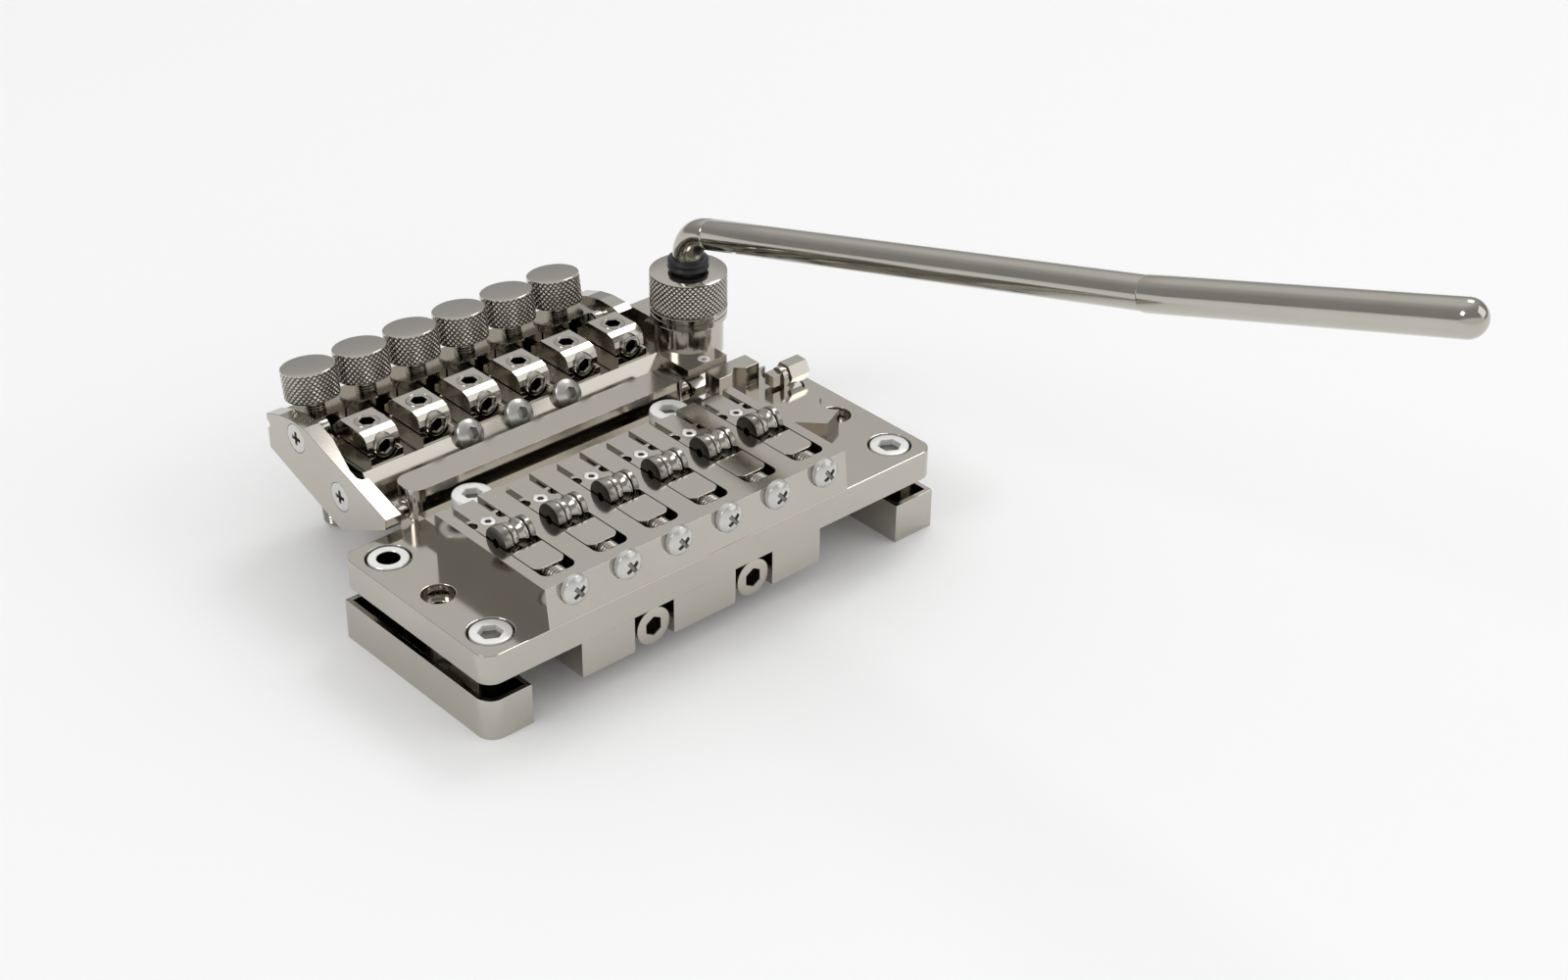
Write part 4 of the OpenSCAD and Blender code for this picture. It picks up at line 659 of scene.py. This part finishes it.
# Arm. A bent steel rod, nickel plated; its outer stretch is a slightly thicker sleeve pressed
# on at the kink, and a seam shows where the bend was brazed on.
def arm_surface(steps=48):
    """Tube along the rod's middle line: ring = centre + r (cos b side + sin b normal), where r
    drops at the seam, steps up at the sleeve and closes as a half sphere at the tip. The line
    has four values a point: reach, height, radius and its lean from upright."""
    rod_r, sleeve_r, bend_r = 2.8, 2.95, 6.0
    rod_rise, sleeve_rise, bend_turn = (math.radians(d) for d in (13.3, 16.2, 76.7))
    foot, corner = 27.2, 42.5
    kink_reach, sleeve_reach = 98.0, 51.4
    heading = math.radians(-85)
    stretch = lambda *values: np.stack(np.broadcast_arrays(*values), axis=1)
    leg = bend_r * math.tan(bend_turn / 2)
    post = stretch(0, np.linspace(foot, corner - leg, 12), rod_r, 0)
    t = np.linspace(0, bend_turn, 25)[1:]
    bend = stretch(bend_r - bend_r * np.cos(t), corner - leg + bend_r * np.sin(t), rod_r, t)
    rod_end = kink_reach / math.cos(rod_rise) - 1.2
    out = np.concatenate([leg + np.array([0.3, 0.9, 1.0, 1.1, 1.2, 1.35]),
                          [20, 40, 60, 80, rod_end]])
    seam = rod_r - np.array([0, 0, 0.06, 0.1, 0.06, 0, 0, 0, 0, 0, 0])
    rod = stretch(out * math.cos(rod_rise), corner + out * math.sin(rod_rise), seam,
                  math.pi / 2 - rod_rise)
    length = sleeve_reach / math.cos(sleeve_rise)
    ball = np.linspace(0, math.pi / 2, 12)[1:]
    out = np.concatenate([[-0.7, -0.7, -0.6, -0.45, 5, 15, 25, 35, 45, length],
                          length + sleeve_r * np.sin(ball)])
    grown = np.concatenate([[rod_r, 2.84, 2.92], np.full(7, sleeve_r), sleeve_r * np.cos(ball)])
    sleeve = stretch(kink_reach + out * math.cos(sleeve_rise),
                     corner + kink_reach * math.tan(rod_rise) + out * math.sin(sleeve_rise),
                     grown, math.pi / 2 - sleeve_rise)
    closed_foot = post[:1] * [1, 1, 0, 1]
    line = np.concatenate([closed_foot, post, bend, rod, sleeve])
    reach, height, radius, lean = (line[:, [k]] for k in range(4))
    b = np.arange(steps) * 2 * np.pi / steps
    along = reach - radius * np.sin(b) * np.cos(lean)
    side = radius * np.cos(b)
    return np.stack([along * math.cos(heading) - side * math.sin(heading),
                     along * math.sin(heading) + side * math.cos(heading),
                     height + radius * np.sin(b) * np.sin(lean)], axis=-1)


surface("arm_finished", [arm_surface() + arm_foot], "arm", [nickel],
        sharp_degrees=35, replaced="arm")

# Floor and light. A white paper sweep under a dim sky with a bright patch high behind the
# bridge, bright again low behind the camera, and three softboxes: two draw the white edges
# and slopes, and one lights the walls that face the camera.
floor_half = 6
floor_material, floor_out = new_material("white_paper_sweep")
paper = node(floor_material, "ShaderNodeBsdfPrincipled",
             {"Base Color": linear("#F4F4F4"), "Roughness": 0.55})
floor_material.node_tree.links.new(paper.outputs["BSDF"], floor_out.inputs["Surface"])
floor_mesh = bpy.data.meshes.new("floor")
floor_mesh.from_pydata([(-floor_half, -floor_half, 0), (floor_half, -floor_half, 0),
                        (floor_half, floor_half, 0), (-floor_half, floor_half, 0)], [],
                       [(0, 1, 2, 3)])
floor_mesh.materials.append(floor_material)
floor = bpy.data.objects.new("floor", floor_mesh)
bpy.context.collection.objects.link(floor)

# The sky's grey depends on how far a direction leans towards bright_point. Mirrors see that
# sky, matt surfaces an even level, and the camera a nearly white backdrop.
bright_point = (0.15, 0.25, 0.405)
sky_stops = ((0.4, 0.75), (0.46, 0.31), (0.78, 0.35), (0.908, 0.52), (0.95, 0.72))
sky_end = 0.8
matt_level = 0.8
backdrop_level = 0.97
world = bpy.data.worlds.new("studio")
world.use_nodes = True
world.node_tree.nodes.clear()
bpy.context.scene.world = world
direction = node(world, "ShaderNodeTexCoord").outputs["Generated"]
towards = node(world, "ShaderNodeVectorMath", {"operation": "DOT_PRODUCT"}, {0: direction})
towards.inputs[1].default_value = bright_point
share = node(world, "ShaderNodeMapRange", {"From Min": -0.5, "From Max": 0.5},
             {"Value": towards.outputs["Value"]})
sky = node(world, "ShaderNodeValToRGB", {}, {"Fac": share.outputs["Result"]})
for at, value in sky_stops:
    sky.color_ramp.elements.new(at).color = (value, value, value, 1)
for stop in (sky.color_ramp.elements[0], sky.color_ramp.elements[-1]):
    stop.color = (sky_end, sky_end, sky_end, 1)
ray = node(world, "ShaderNodeLightPath")
lit = node(world, "ShaderNodeMix", {}, {"Factor": ray.outputs["Is Glossy Ray"]})
lit.inputs["A"].default_value = matt_level
level = node(world, "ShaderNodeMix", {}, {"Factor": ray.outputs["Is Camera Ray"]})
level.inputs["B"].default_value = backdrop_level
world.node_tree.links.new(sky.outputs["Color"], lit.inputs["B"])
world.node_tree.links.new(lit.outputs["Result"], level.inputs["A"])
background = node(world, "ShaderNodeBackground", {}, {"Strength": level.outputs["Result"]})
background.inputs["Color"].default_value = (1, 1, 1, 1)
node(world, "ShaderNodeOutputWorld", {}, {"Surface": background.outputs[0]})


def softbox(name, at, size, power):
    """A square area lamp that faces the origin."""
    lamp = bpy.data.lights.new(name, "AREA")
    lamp.shape = "SQUARE"
    lamp.size = size
    lamp.energy = power
    ob = bpy.data.objects.new(name, lamp)
    ob.location = at
    ob.rotation_euler = (-Vector(at)).to_track_quat("-Z", "Y").to_euler()
    bpy.context.collection.objects.link(ob)


softbox("softbox_high", at=(0.86, 0.36, 1.18), size=0.45, power=3.0)
softbox("softbox_left", at=(-0.9, 0.1, 0.9), size=0.4, power=2.2)
softbox("softbox_front", at=(0.8, -0.87, 0.73), size=0.9, power=2.5)
